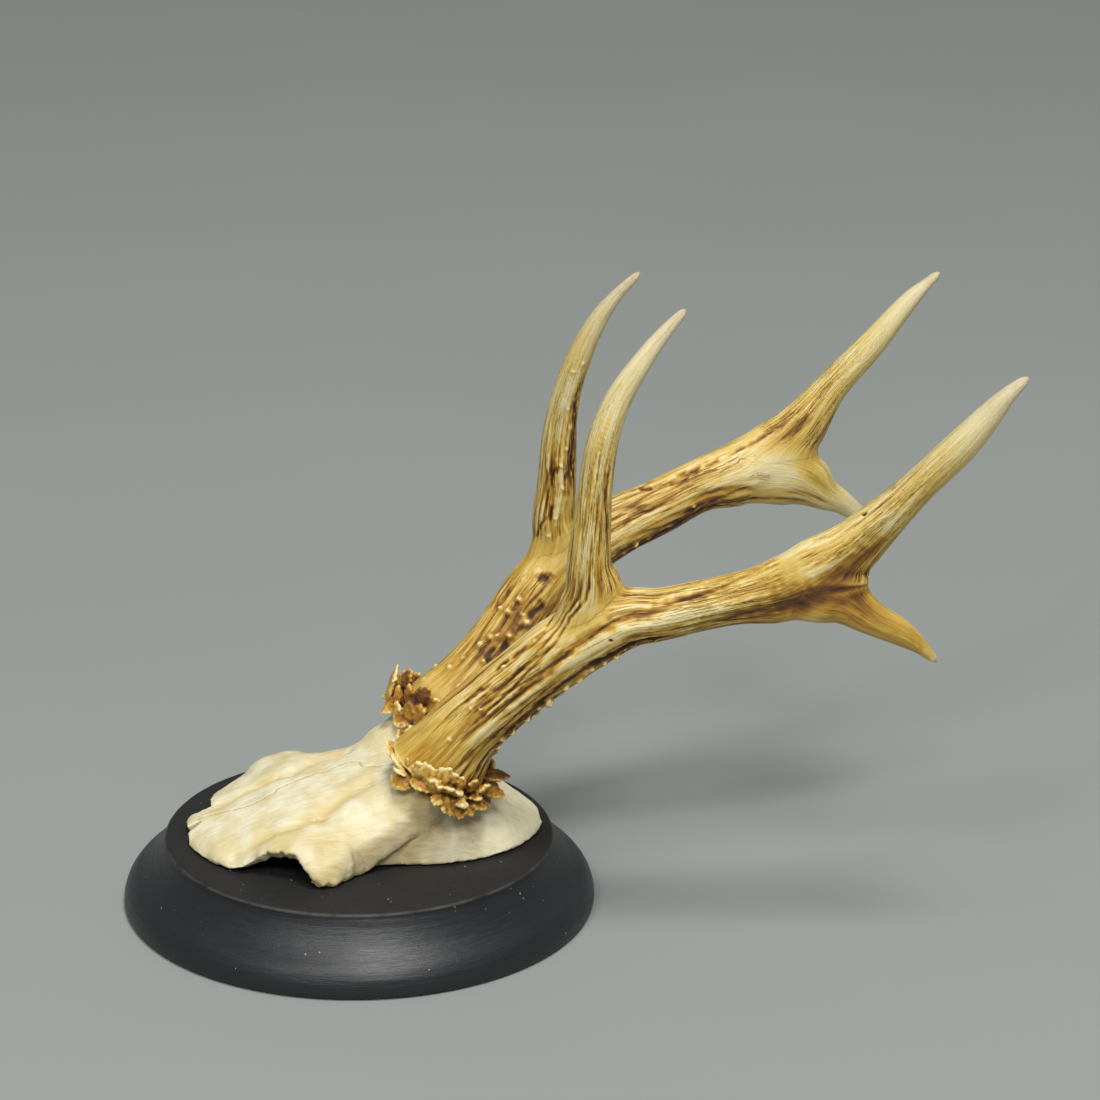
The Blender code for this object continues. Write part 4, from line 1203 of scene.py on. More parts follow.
def break_nose(sheet):
    work_on(sheet)
    bpy.ops.mesh.select_all(action="DESELECT")
    open_mesh = bmesh.from_edit_mesh(sheet.data)
    for face in open_mesh.faces:
        middle = face.calc_center_median() / MM
        face.select = is_broken(middle.x, middle.y)
    bmesh.update_edit_mesh(sheet.data)
    bpy.ops.mesh.delete(type="FACE")
    deselect_all()


def saw_flat(piece):
    """Cut away what lies below the saw cut, and close the cut."""
    work_on(piece)
    bpy.ops.mesh.bisect(
        plane_co=(0, 0, CAP_FLOOR * MM), plane_no=(0, 0, 1), use_fill=True, clear_inner=True,
    )
    deselect_all()


# %% Pedicles
LEFT_PEDICLE = (
    (13.0, 4.0, 26.0, 10.2, 10.8),
    (14.0, 10.0, 30.5, 9.6, 11.0),
    (14.9, 15.8, 35.4, 9.4, 11.0),
    (15.6, 20.8, 41.8, 9.8, 10.6),
)
RIGHT_PEDICLE = (
    (13.0, 4.0, 29.0, 10.2, 10.6),
    (14.2, 10.5, 34.2, 9.2, 10.8),
    (15.3, 17.0, 39.4, 8.8, 10.8),
    (16.5, 23.0, 46.8, 9.2, 10.4),
)
SKULL_GRAIN = 0.42
EVEN_ROUNDS = 120              # how far the pedicles and the crest melt into the sheets
RIM_KEPT = 2.6                 # the last mm above the saw cut keep their shape
INSIDE_KEPT = 0.66             # share of the faces left after the hollow is thinned


def raw_skull():
    forehead = drape("skull_bone", FOREHEAD, FOREHEAD_EDGE)
    break_nose(forehead)
    braincase = drape("braincase", BRAINCASE, ((0.0, 0.0), (1.0, 0.0)))
    parts = [forehead, braincase]
    for sheet in parts:
        use_modifier(sheet, "SOLIDIFY", thickness=BONE * MM, offset=-1.0, use_even_offset=False)
        saw_flat(sheet)
    for side, rows in ((1, LEFT_PEDICLE), (-1, RIGHT_PEDICLE)):
        pedicle = grow_branch("pedicle", Course(rows, 2.0, side))
        saw_flat(pedicle)
        parts.append(pedicle)
    cap = fuse("skull_bone", parts)
    skin_over(cap, SKULL_GRAIN)
    return cap


def socket_distance(points):
    """How far behind the socket's edge each point lies, 0 at the edge."""
    depths, lifts = zip(*FOREHEAD_EDGE[:SOCKET_ROWS])
    lifted = np.interp(points[:, 1], depths, lifts)
    half_width, height, fullness = section_values(FOREHEAD, points[:, 1])
    rim = half_width * np.clip(1 - (lifted / height) ** fullness, 0, 1) ** (1 / fullness)
    return rim - np.abs(points[:, 0] - SKULL_MIDDLE)


def melt(cap):
    """Even the skin where the parts meet, and leave the sawn and broken edges alone."""
    edges = edges_of(cap)
    points = points_of(cap)
    normals = normals_of(cap)
    above = rise(points[:, 2] - CAP_FLOOR, 0.6, RIM_KEPT)
    socket = np.where(points[:, 1] < -13.0, rise(socket_distance(points), 1.0, 5.0), 1.0)
    nose = rise(points[:, 1], -42.0, -36.0)
    outside = rise(normals[:, 2], -0.55, 0.0)
    share = 0.5 * above * socket * nose * outside
    share = evened(share, edges, 6)
    points = evened(points, edges, EVEN_ROUNDS, share)
    points = evened(points, edges, 4, 0.35)
    set_points(cap, points)


def thin_inside(cap):
    """The hollow is never seen, so its skin is made coarser."""
    normals = normals_of(cap)
    points = points_of(cap)
    hidden = rise(normals[:, 2], 0.1, -0.4) * rise(points[:, 2] - CAP_FLOOR, 1.5, 3.5)
    hidden *= rise(socket_distance(points), 2.0, 6.0)
    group = cap.vertex_groups.new(name="inside")
    for index, weight in enumerate(hidden.tolist()):
        if weight > 0.02:
            group.add([index], weight, "REPLACE")
    use_modifier(cap, "DECIMATE", ratio=INSIDE_KEPT, vertex_group="inside", vertex_group_factor=1.0)
    cap.vertex_groups.clear()
    print(cap.name, "thinned inside:", sum(len(f.vertices) - 2 for f in cap.data.polygons), "triangles")


skull_bone = raw_skull()
melt(skull_bone)
thin_inside(skull_bone)

# %% [markdown]
# ## Troughs, sutures and fibre of the bone
#
# The forehead has a shallow trough on each side of its middle, where blood vessels ran, with a small hole
# in the near one. A wavy suture joins the two frontal bones, and fine fibres run from nose to nape. They
# are drawn as strokes: a line on the bone in plan, and a soft dent or swelling beside it. The distance to
# the sutures is kept for the material, which draws them finer than the skin's own grain.

# %% Strokes on the bone
MID_SUTURE = (
    (-3.4, -44.4), (-2.4, -40.0), (-0.6, -35.0), (0.8, -30.5), (0.5, -26.0), (-2.2, -22.1), (-2.7, -18.7),
    (-3.4, -15.4), (-4.4, -12.0), (-3.9, -8.2), (-5.4, -4.7), (-5.0, -1.9), (-2.2, 0.4), (0.6, 1.0),
    (3.0, 4.5), (3.4, 9.0),
)
FAR_TROUGH = (
    (-8.5, -38.0), (-10.9, -30.7), (-11.6, -26.0), (-11.3, -22.5), (-10.3, -18.2), (-12.2, -14.7),
    (-15.0, -12.2), (-16.2, -8.8), (-15.1, -3.9),
)
NEAR_TROUGH = (
    (20.8, -35.3), (20.4, -29.8), (20.0, -26.5), (21.0, -22.8), (20.8, -19.5), (18.6, -15.5), (19.4, -12.6),
    (16.3, -9.4), (13.3, -5.8), (11.0, -1.8), (10.3, 1.6),
)
SHORT_CRACKS = (
    ((-11.4, -28.2), (-11.7, -25.9), (-11.3, -24.0)),
    ((-11.7, -22.3), (-10.8, -19.4), (-10.3, -17.8)),
    ((20.3, -27.4), (20.6, -25.2)),
    ((18.5, -14.4), (19.4, -12.4)),
)
VESSEL_HOLE = (19.4, -12.8)
# These lie on both sides: distance from the skull's middle, y
VALLEY = ((24.2, 22.5), (24.4, 18.8), (25.8, 14.3), (26.8, 11.5), (29.0, 5.8), (30.6, 0.2), (32.0, -4.0))
SOCKET_RIM = ((27.0, -25.0), (30.0, -20.5), (33.0, -16.5))
CREST_LINE = ((38.0, -13.0), (34.6, -8.5), (32.0, -3.0), (29.8, 3.0), (27.6, 8.5), (25.4, 13.0), (22.5, 17.0))


def line_distance(places, line):
    """Distance from each place to a line of points, in plan."""
    nearest = np.full(len(places), 1e3)
    for (ax, ay), (bx, by) in zip(line, line[1:]):
        step = np.array((bx - ax, by - ay))
        offset = places[:, :2] - np.array((ax, ay))
        part = np.clip(offset @ step / (step @ step), 0.0, 1.0)
        nearest = np.minimum(nearest, np.linalg.norm(offset - part[:, None] * step, axis=1))
    return nearest


def bell(distance, width):
    return np.exp(-(distance / width) ** 2)


# %% Carve the bone
# line, how far it lifts the bone in mm, how wide it spreads
PLAIN_MARKS = ((FAR_TROUGH, -1.45, 2.6), (NEAR_TROUGH, -1.30, 2.6))
MIRRORED_MARKS = ((CREST_LINE, 1.0, 2.4), (VALLEY, -0.9, 1.3), (SOCKET_RIM, 1.5, 4.2))
SAW_GAP = 0.30                 # mm
BONE_CREST_ROUNDS = 14


def carve_bone(cap):
    """Push the troughs, crests, sutures and fibre in or out. Returns what the colours need."""
    points = points_of(cap)
    upper = rise(normals_of(cap)[:, 2], -0.1, 0.35)
    wavy = points + np.column_stack([
        grain_at(points / 1.3, 4) * 0.45, grain_at(points / 1.6, 5) * 0.3, np.zeros(len(points)),
    ])
    suture = line_distance(wavy, MID_SUTURE)
    cracks = np.min([line_distance(wavy, crack) for crack in SHORT_CRACKS], axis=0)
    lift = 0.12 * bell(suture, 1.6) - 0.30 * bell(suture, 0.5) - 0.45 * bell(cracks, 0.4)
    for line, height, width in PLAIN_MARKS:
        lift += height * bell(line_distance(points, line), width)
    hole = np.hypot(points[:, 0] - VESSEL_HOLE[0], (points[:, 1] - VESSEL_HOLE[1]) / 1.8)
    lift -= 0.9 * bell(hole, 0.7)
    mirrored = np.column_stack([np.abs(points[:, 0] - SKULL_MIDDLE), points[:, 1]])
    for line, height, width in MIRRORED_MARKS:
        lift += height * bell(line_distance(mirrored, line), width)
    lumps = grain_at(points / 8.0, 11) * 0.34 + grain_at(points / 3.0, 12) * 0.09
    fibre = grain_at(points / np.array((0.8, 8.0, 1.6)), 13)
    lift += lumps + fibre * 0.075
    push(cap, lift * upper)
    print("bone carved, deepest", round(float(-lift.min()), 2), "mm")
    return mirrored, np.minimum(suture, cracks)


def roughen_saw_cut(cap):
    """The saw cut doesn't touch the plaque everywhere."""
    points = points_of(cap)
    low = rise(points[:, 2] - CAP_FLOOR, 1.4, 0.1)
    gap = SAW_GAP * rise(grain_at(points / np.array((2.6, 2.6, 50.0)), 14), -0.2, 0.7)
    points[:, 2] += low * gap
    set_points(cap, points)


def patch_near(out, y, middle, stretch, width):
    """Nearness to a place that both sides of the cap have, drawn out along y."""
    return bell(np.hypot(out - middle[0], (y - middle[1]) / stretch), width)


def note_colours(cap, mirrored, seam):
    """Keep where the bone is warm with fat, where light is painted on it, where soil and painted shade darken
    it, and how far its seams are.
    """
    points = points_of(cap)
    out, y = mirrored[:, 0], points[:, 1]
    troughs = np.minimum(line_distance(points, FAR_TROUGH), line_distance(points, NEAR_TROUGH))
    warmth = np.max([
        patch_near(out, mirrored[:, 1], (31.0, -10.5), 1.5, 5.0) * 0.95,
        patch_near(out, y, (30.0, -26.0), 2.4, 3.6) * 0.7,
        bell(line_distance(mirrored, CREST_LINE), 3.5) * 0.45,
        bell(troughs, 2.4) * 0.55,
    ], axis=0)
    # Painted shade, partly soil: darker under the burr, on the pedicle and along the valley beside the crest.
    soil_and_shade = np.max([
        patch_near(out, y, (22.0, 28.0), 1.0, 5.0) * 0.6,
        patch_near(out, y, (24.0, 15.0), 1.3, 6.0) * 0.34,
        bell(line_distance(mirrored, VALLEY), 1.6) * 0.55,
    ], axis=0)
    store(cap, "seam", seam)
    store(cap, "warm", np.clip(warmth, 0.0, 1.0))
    # Painted light: the braincase is painted paler where light falls on it.
    store(cap, "braincase_painted_light", rise(y, 18.0, 34.0))
    store(cap, "soil_and_shade", soil_and_shade)


mirrored, seam = carve_bone(skull_bone)
roughen_saw_cut(skull_bone)
keep_relief(skull_bone, edges_of(skull_bone), BONE_CREST_ROUNDS)
note_colours(skull_bone, mirrored, seam)

# %% [markdown]
# ## The turned plaque
#
# A disc of wood is turned on a lathe: a rounded foot, a full shoulder that swings into a hollow cove, and
# a flat top with a small edge. Spinning a drawn profile makes the same shape, but here a circle is
# extruded ring by ring, so that each ring can also carry the slight waves that the gouge and the paint
# brush left in it.

# %% Profile of the plaque
PLAQUE_RADIUS = 65.0
PLAQUE_HEIGHT = 19.6
FOOT_ROUND = 1.5
SHOULDER_RADIUS = 9.0
SHOULDER_END = 55.0            # degrees above the horizontal where the shoulder turns into the cove
COVE_RADIUS = 21.0
TOP_EDGE_ROUND = 0.9
PLAQUE_SIDES = 400
PROFILE_STEP = 0.45


def arc(centre, radius, start, end):
    """Points on an arc of the profile, as (radius, height)."""
    steps = max(2, round(abs(math.radians(end - start)) * radius / PROFILE_STEP))
    turns = [math.radians(start + (end - start) * step / steps) for step in range(steps + 1)]
    return [(centre[0] + radius * math.cos(turn), centre[1] + radius * math.sin(turn)) for turn in turns]


def plaque_profile():
    """From the edge of the back, round the ogee, to near the middle of the top."""
    profile = arc((PLAQUE_RADIUS - FOOT_ROUND, FOOT_ROUND), FOOT_ROUND, -90, 0)
    profile += arc((PLAQUE_RADIUS - SHOULDER_RADIUS, FOOT_ROUND), SHOULDER_RADIUS, 0, SHOULDER_END)[1:]
    radius, height = profile[-1]
    bend = math.radians(SHOULDER_END)
    cove = (radius + COVE_RADIUS * math.cos(bend), height + COVE_RADIUS * math.sin(bend))
    cove_end = 180 + math.degrees(math.asin((cove[1] - PLAQUE_HEIGHT + TOP_EDGE_ROUND) / COVE_RADIUS))
    profile += arc(cove, COVE_RADIUS, 180 + SHOULDER_END, cove_end)[1:]
    radius = profile[-1][0] - TOP_EDGE_ROUND
    profile += arc((radius, PLAQUE_HEIGHT - TOP_EDGE_ROUND), TOP_EDGE_ROUND, 0, 90)[1:]
    inward = np.linspace(radius, 1.0, 50)[1:]
    return profile + [(float(ring), PLAQUE_HEIGHT) for ring in inward]


# %% Turn the plaque
def turn_plaque():
    profile = plaque_profile()
    deselect_all()
    bpy.ops.mesh.primitive_circle_add(vertices=PLAQUE_SIDES, radius=profile[0][0] * MM, fill_type="NGON")
    plaque = bpy.context.active_object
    plaque.name = "turned_plaque"
    work_on(plaque)
    bpy.ops.mesh.select_mode(type="FACE")
    for (last, low), (radius, high) in zip(profile, profile[1:]):
        bpy.ops.mesh.extrude_region_move(TRANSFORM_OT_translate={"value": (0, 0, (high - low) * MM)})
        bpy.ops.transform.resize(value=(radius / last, radius / last, 1.0), center_override=(0, 0, high * MM))
    bpy.ops.mesh.merge(type="CENTER")
    bpy.ops.mesh.select_all(action="SELECT")
    bpy.ops.mesh.normals_make_consistent(inside=False)
    deselect_all()
    return plaque


def brush_paint(plaque):
    """Waves of the gouge along the rings, and the low ridges of brushed paint."""
    points = points_of(plaque)
    radius = np.maximum(np.hypot(points[:, 0], points[:, 1]), 1e-6)
    round_once = points[:, :2] / radius[:, None]
    across = np.hypot(PLAQUE_RADIUS - radius, points[:, 2])
    waves = grain_at(np.column_stack([round_once * 2.2, across / 0.8]), 21) * 0.035
    ridges = grain_at(np.column_stack([round_once * 26.0, across / 0.5]), 22) * 0.02
    standing = rise(points[:, 2], 0.8, 3.0)
    push(plaque, (waves + ridges) * standing)


turned_plaque = turn_plaque()
brush_paint(turned_plaque)

# %% [markdown]
# ## A palette for materials
#
# A material is a small graph of nodes. These few short ways to add a node keep each recipe readable: a
# value read from the piece, a soft step, a mix of two colours, a noise, a bump.


# %% Short ways to add nodes
class Finish:
    def __init__(self, name):
        self.material = bpy.data.materials.new(name)
        self.material.use_nodes = True
        self.tree = self.material.node_tree
        self.shader = self.tree.nodes["Principled BSDF"]

    def add(self, kind, inputs, output=0, **settings):
        node = self.tree.nodes.new(kind)
        for key, value in settings.items():
            setattr(node, key, value)
        for key, value in inputs.items():
            self.feed(node.inputs[key], value)
        return node.outputs[output]

    def feed(self, socket, value):
        if isinstance(value, bpy.types.NodeSocket):
            self.tree.links.new(value, socket)
        else:
            socket.default_value = value

    def reading(self, name):
        return self.add("ShaderNodeAttribute", {}, 2, attribute_name=name)

    def kept_place(self, name):
        """A place in mm that was kept on the skin."""
        return self.add("ShaderNodeAttribute", {}, 1, attribute_name=name)

    def place(self):
        """A place in mm in the object's own coordinates."""
        spot = self.add("ShaderNodeTexCoord", {}, 3)
        return self.add("ShaderNodeVectorMath", {0: spot, 3: 1.0 / MM}, operation="SCALE")

    def stretch(self, place, scale):
        return self.add("ShaderNodeVectorMath", {0: place, 1: scale}, operation="MULTIPLY")

    def noise(self, place, scale=1.0, detail=3.0, rough=0.5):
        return self.add(
            "ShaderNodeTexNoise", {"Vector": place, "Scale": scale, "Detail": detail, "Roughness": rough},
        )

    def sum(self, operation, first, second=0.0, third=0.0):
        return self.add("ShaderNodeMath", {0: first, 1: second, 2: third}, operation=operation)

    def step(self, value, low, high, start=0.0, end=1.0):
        inputs = {0: value, 1: low, 2: high, 3: start, 4: end}
        return self.add("ShaderNodeMapRange", inputs, interpolation_type="SMOOTHSTEP")

    def mix(self, share, first, second, blend="MIX"):
        colours = [(*colour, 1.0) if isinstance(colour, tuple) else colour for colour in (first, second)]
        inputs = {0: share, 6: colours[0], 7: colours[1]}
        return self.add("ShaderNodeMix", inputs, 2, data_type="RGBA", blend_type=blend)

    def ramp(self, value, steps):
        """Colours laid along a value from 0 to 1."""
        node = self.tree.nodes.new("ShaderNodeValToRGB")
        self.feed(node.inputs[0], value)
        stops = node.color_ramp.elements
        for index, (place, colour) in enumerate(steps):
            stop = stops[index] if index < len(stops) else stops.new(place)
            stop.position = place
            stop.color = (*colour, 1.0)
        return node.outputs[0]

    def bump(self, height, depth, below=None):
        """Relief of a height from 0 to 1, its depth in mm."""
        inputs = {"Height": height, "Strength": 1.0, "Distance": depth * MM}
        if below is not None:
            inputs["Normal"] = below
        return self.add("ShaderNodeBump", inputs)

    def paint(self, **sockets):
        for name, value in sockets.items():
            value = (*value, 1.0) if isinstance(value, tuple) else value
            self.feed(self.shader.inputs[name.replace("_", " ")], value)
        return self.material


# %% [markdown]
# ## Antler
#
# Antler is bone stained by bark sap and soil. The sap stays in the furrows, dark brown, and rubbing polishes
# the ridges and tips pale. So the colour follows the relief: how far a point stands above or below the skin
# round it, how near it is to a tip, and the streaks along the grain. Broad hollows and the rear side are also
# darker, partly with sap and partly with painted shade. On the burrs it also follows the sap that was noted
# for each lobe, and the gaps next to the beam are darker with sap and painted shade.

# %% Antler finish
STAIN_STEPS = (                # how much sap a place holds, and its colour
    (0.00, (0.790, 0.660, 0.335)),
    (0.18, (0.680, 0.475, 0.110)),
    (0.36, (0.505, 0.295, 0.036)),
    (0.54, (0.315, 0.148, 0.014)),
    (0.74, (0.145, 0.055, 0.007)),
    (1.00, (0.042, 0.015, 0.005)),
)
TIP_IVORY = (0.700, 0.600, 0.380)
TINE_GREY = (0.95, 0.99, 1.08)


def antler_finish(name, start):
    finish = Finish(name)
    crest, swell, groove = (finish.reading(key) for key in ("crest", "swell", "groove"))
    tone, web, stain_and_shade = (finish.reading(key) for key in ("tone", "web", "stain_and_shade"))
    to_tip, from_burr, lively = (finish.reading(key) for key in ("to_tip", "from_burr", "lively"))
    skin = finish.kept_place("grain")
    streak = finish.noise(finish.stretch(skin, (2.3, 2.3, 0.15)), detail=4.0, rough=0.65)
    broad = finish.noise(finish.stretch(skin, (0.8, 0.8, 0.05)), detail=2.0)
    thread = finish.noise(finish.stretch(skin, (1.05, 1.05, 0.05)), detail=3.0, rough=0.6)
    patch = finish.noise(finish.stretch(skin, (0.35, 0.35, 0.04)), detail=2.0)
    fleck = finish.noise(finish.place(), scale=1.9, detail=3.0)
    from_line = finish.sum("ABSOLUTE", finish.sum("SUBTRACT", thread, 0.5))
    furrow = finish.sum("MULTIPLY", finish.step(from_line, 0.045, 0.005), finish.step(patch, 0.40, 0.60))
    furrow = finish.sum("MULTIPLY", furrow, finish.step(to_tip, 18.0, 70.0, 0.10, 1.0))
    furrow = finish.sum("MULTIPLY", furrow, finish.step(web, 0.7, 0.1, 0.2, 1.0))

    sap = finish.sum("MULTIPLY_ADD", groove, 0.26, start)
    sap = finish.sum("MULTIPLY_ADD", crest, -1.5, sap)
    # Painted shade, partly sap: broad hollows such as the forks are darker.
    sap = finish.sum("MULTIPLY_ADD", swell, -0.35, sap)
    bands = finish.sum("MULTIPLY", finish.sum("SUBTRACT", 0.5, streak), 0.80)
    bands = finish.sum("MULTIPLY_ADD", finish.sum("SUBTRACT", 0.5, broad), 0.58, bands)
    bands = finish.sum("MULTIPLY_ADD", furrow, 0.30, bands)
    sap = finish.sum("MULTIPLY_ADD", bands, lively, sap)
    sap = finish.sum("MULTIPLY_ADD", tone, 0.10, sap)
    sap = finish.sum("ADD", sap, finish.step(from_burr, 90.0, 30.0, 0.0, 0.05))
    sap = finish.sum("MULTIPLY_ADD", web, -0.07, sap)
    sap = finish.sum("MULTIPLY", sap, finish.step(to_tip, 0.0, 48.0, 0.35, 1.0))
    hollow = finish.step(crest, 0.22, 0.02, 0.2, 1.0)
    sap = finish.sum("MULTIPLY_ADD", stain_and_shade, hollow, sap)
    colour = finish.ramp(sap, STAIN_STEPS)
    grey = finish.mix(1.0, colour, TINE_GREY, blend="MULTIPLY")
    clean = finish.step(stain_and_shade, 0.25, 0.05)
    colour = finish.mix(finish.sum("MULTIPLY", clean, finish.step(to_tip, 78.0, 30.0)), colour, grey)
    polish = finish.sum("MULTIPLY", clean, finish.step(to_tip, 26.0, 2.0, 0.0, 0.75))
    colour = finish.mix(polish, colour, TIP_IVORY)

    rough = finish.step(sap, 0.2, 0.8, 0.36, 0.60)
    rough = finish.sum("MULTIPLY_ADD", fleck, 0.12, rough)
    relief = finish.bump(finish.sum("MULTIPLY", furrow, finish.sum("MULTIPLY", lively, -1.0)), 0.28)
    relief = finish.bump(streak, 0.22, relief)
    relief = finish.bump(fleck, 0.05, relief)
    return finish.paint(Base_Color=colour, Roughness=rough, Normal=relief)


# %% Burr finish
BURR_STEPS = (
    (0.00, (0.800, 0.660, 0.330)),
    (0.22, (0.650, 0.425, 0.090)),
    (0.45, (0.420, 0.195, 0.017)),
    (0.68, (0.180, 0.066, 0.007)),
    (1.00, (0.040, 0.013, 0.003)),
)


def burr_finish():
    finish = Finish("burr")
    crest, swell, rubbed = (finish.reading(key) for key in ("crest", "swell", "rubbed"))
    fleck = finish.noise(finish.place(), scale=1.4, detail=4.0)
    wash = finish.noise(finish.place(), scale=0.3, detail=2.0)
    sap = finish.sum("ADD", finish.reading("sap"), 0.46)
    sap = finish.sum("MULTIPLY_ADD", crest, -0.8, sap)
    # Painted shade, partly sap: broad hollows between the lobes are darker.
    sap = finish.sum("MULTIPLY_ADD", swell, -0.25, sap)
    sap = finish.sum("MULTIPLY_ADD", finish.sum("SUBTRACT", fleck, 0.5), 0.45, sap)
    sap = finish.sum("MULTIPLY_ADD", finish.sum("SUBTRACT", wash, 0.5), 0.45, sap)
    # Painted shade, partly sap: the gaps next to the beam are darker.
    gap = finish.sum("MULTIPLY", finish.reading("recess"), finish.step(crest, 0.12, -0.08))
    sap = finish.sum("MULTIPLY_ADD", gap, 0.22, sap)
    sap = finish.sum("MULTIPLY_ADD", rubbed, -0.18, sap)
    colour = finish.ramp(sap, BURR_STEPS)
    rough = finish.step(sap, 0.2, 0.8, 0.34, 0.55)
    relief = finish.bump(fleck, 0.12)
    return finish.paint(Base_Color=colour, Roughness=rough, Normal=relief)


# %% [markdown]
# ## Boiled bone
#
# The skull cap was boiled and bleached. It is cream white, whiter towards the nose, and painted paler on the
# braincase where light falls on it. It is warm yellow where fat stayed near the eye sockets and under the
# burrs, and dry, with a faint gloss. Under the burrs, on the pedicles and in the valley beside the crest it
# is darker, partly with soil and partly with painted shade. Fine brown lines lie in its sutures.

# %% Bone finish
BONE_CREAM = (0.670, 0.575, 0.315)
BONE_WHITE = (0.780, 0.735, 0.525)
BONE_PAINTED_LIGHT = (0.890, 0.825, 0.560)
BONE_YELLOW = (0.540, 0.380, 0.100)
BONE_BROWN = (0.280, 0.170, 0.070)


def bone_finish():
    finish = Finish("bone")
    crest, seam, warm = (finish.reading(key) for key in ("crest", "seam", "warm"))
    braincase_painted_light, soil_and_shade = finish.reading("braincase_painted_light"), finish.reading("soil_and_shade")
    place = finish.place()
    wash = finish.noise(place, scale=0.12, detail=3.0)
    streak = finish.noise(finish.stretch(place, (1.5, 0.14, 0.9)), detail=4.0, rough=0.65)
    fleck = finish.noise(place, scale=2.2, detail=4.0)
    lit = finish.step(streak, 0.2, 0.8, 0.5, 1.0)
    colour = finish.mix(finish.step(wash, 0.35, 0.65), BONE_CREAM, BONE_WHITE)
    # Painted light: the braincase is painted paler where light falls on it.
    colour = finish.mix(braincase_painted_light, colour, BONE_PAINTED_LIGHT)
    colour = finish.mix(finish.step(streak, 0.52, 0.74, 0.0, 0.28), colour, BONE_YELLOW)
    colour = finish.mix(finish.sum("MULTIPLY", warm, lit), colour, BONE_YELLOW)
    colour = finish.mix(finish.step(crest, -0.02, -0.16, 0.0, 0.6), colour, BONE_YELLOW)
    # Painted shade, partly soil: brown under the burrs, on the pedicles and in the valley beside the crest.
    colour = finish.mix(finish.sum("MULTIPLY", soil_and_shade, lit), colour, BONE_BROWN)
    thin = finish.sum("MULTIPLY_ADD", fleck, 0.45, finish.sum("ADD", seam, -0.22))
    colour = finish.mix(finish.step(thin, 0.36, 0.08, 0.0, 0.45), colour, BONE_BROWN)
    rough = finish.step(streak, 0.3, 0.7, 0.40, 0.54)
    relief = finish.bump(streak, 0.14)
    relief = finish.bump(fleck, 0.06, relief)
    return finish.paint(Base_Color=colour, Roughness=rough, Normal=relief)


# %% [markdown]
# ## Black paint on turned wood
#
# One thin coat, brushed round the disc. The brush hairs leave fine lines that follow the rings, and the top
# is duller and a little brown with dust. The sides below the top carry a painted bluish sheen, and along the
# upper edge the paint is rubbed thin, with a painted highlight on it.

# %% Painted wood finish
PAINT_BLACK = (0.0060, 0.0064, 0.0070)
PAINT_SHEEN_GREY = (0.0120, 0.0135, 0.0155)      # the cove and the foot: painted sheen, a bluish grey reflection
PAINT_DUSTY = (0.0085, 0.0078, 0.0068)
# the upper edge: paint rubbed thin, and a painted highlight
PAINT_RUBBED_AND_LIT = (0.060, 0.057, 0.052)
DUST_PALE = (0.360, 0.330, 0.280)
HAIR_GRAIN = (9.0, 9.0, 1.0)               # how often a brush line breaks on its way round


def paint_finish():
    finish = Finish("painted_wood")
    place = finish.place()
    flat = finish.stretch(place, (1.0, 1.0, 0.0))
    radius = finish.add("ShaderNodeVectorMath", {0: flat}, 1, operation="LENGTH")
    direction = finish.add("ShaderNodeVectorMath", {0: flat}, operation="NORMALIZE")
    height = finish.add("ShaderNodeSeparateXYZ", {0: place}, 2)
    across = finish.sum("SUBTRACT", radius, height)
    ring = finish.add("ShaderNodeCombineXYZ", {0: 0.0, 1: 0.0, 2: finish.sum("MULTIPLY", across, 2.4)})
    round_disc = {0: direction, 1: HAIR_GRAIN, 2: ring}
    hair = finish.add("ShaderNodeVectorMath", round_disc, operation="MULTIPLY_ADD")
    hairs = finish.noise(hair, detail=5.0, rough=0.65)
    blotch = finish.noise(place, scale=0.16, detail=4.0, rough=0.6)
    grit = finish.noise(place, scale=2.6, detail=3.0)
    top = finish.step(height, PLAQUE_HEIGHT - 0.8, PLAQUE_HEIGHT - 0.2)
    dusty = finish.step(blotch, 0.3, 0.7, 0.25, 1.0)
    dusty = finish.sum("MULTIPLY", dusty, finish.step(top, 0.0, 1.0, 0.22, 1.0))
    # Painted sheen: the sides below the top are a bluish grey, as if they reflected the room.
    side_sheen = finish.sum("MULTIPLY", finish.step(height, PLAQUE_HEIGHT - 0.8, PLAQUE_HEIGHT - 2.5),
                      finish.step(blotch, 0.3, 0.65, 0.78, 1.0))
    colour = finish.mix(side_sheen, finish.mix(dusty, PAINT_BLACK, PAINT_DUSTY), PAINT_SHEEN_GREY)
    colour = finish.mix(finish.step(hairs, 0.60, 0.80, 0.0, 0.5), colour, PAINT_DUSTY)
    # A thin pale line along the upper edge: paint rubbed thin, and a painted highlight.
    edge = finish.step(height, PLAQUE_HEIGHT - 0.9, PLAQUE_HEIGHT - 0.45)
    below_top = finish.step(height, PLAQUE_HEIGHT - 0.02, PLAQUE_HEIGHT - 0.25, 0.0, 0.7)
    edge = finish.sum("MULTIPLY", edge, below_top)
    colour = finish.mix(finish.sum("MULTIPLY", edge, finish.step(blotch, 0.3, 0.6)), colour, PAINT_RUBBED_AND_LIT)
    specks = finish.add(
        "ShaderNodeTexVoronoi", {"Vector": place, "Scale": 0.55, "Randomness": 1.0}, 0, feature="F1",
    )
    rare = finish.step(finish.noise(place, scale=0.35, detail=1.0), 0.62, 0.70)
    colour = finish.mix(finish.sum("MULTIPLY", finish.step(specks, 0.16, 0.08), rare), colour, DUST_PALE)
    rough = finish.step(hairs, 0.3, 0.7, 0.34, 0.48)
    rough = finish.sum("MULTIPLY_ADD", top, 0.26, rough)
    relief = finish.bump(hairs, 0.08)
    relief = finish.bump(grit, 0.03, relief)
    return finish.paint(Base_Color=colour, Roughness=rough, Specular_IOR_Level=0.50, Normal=relief)


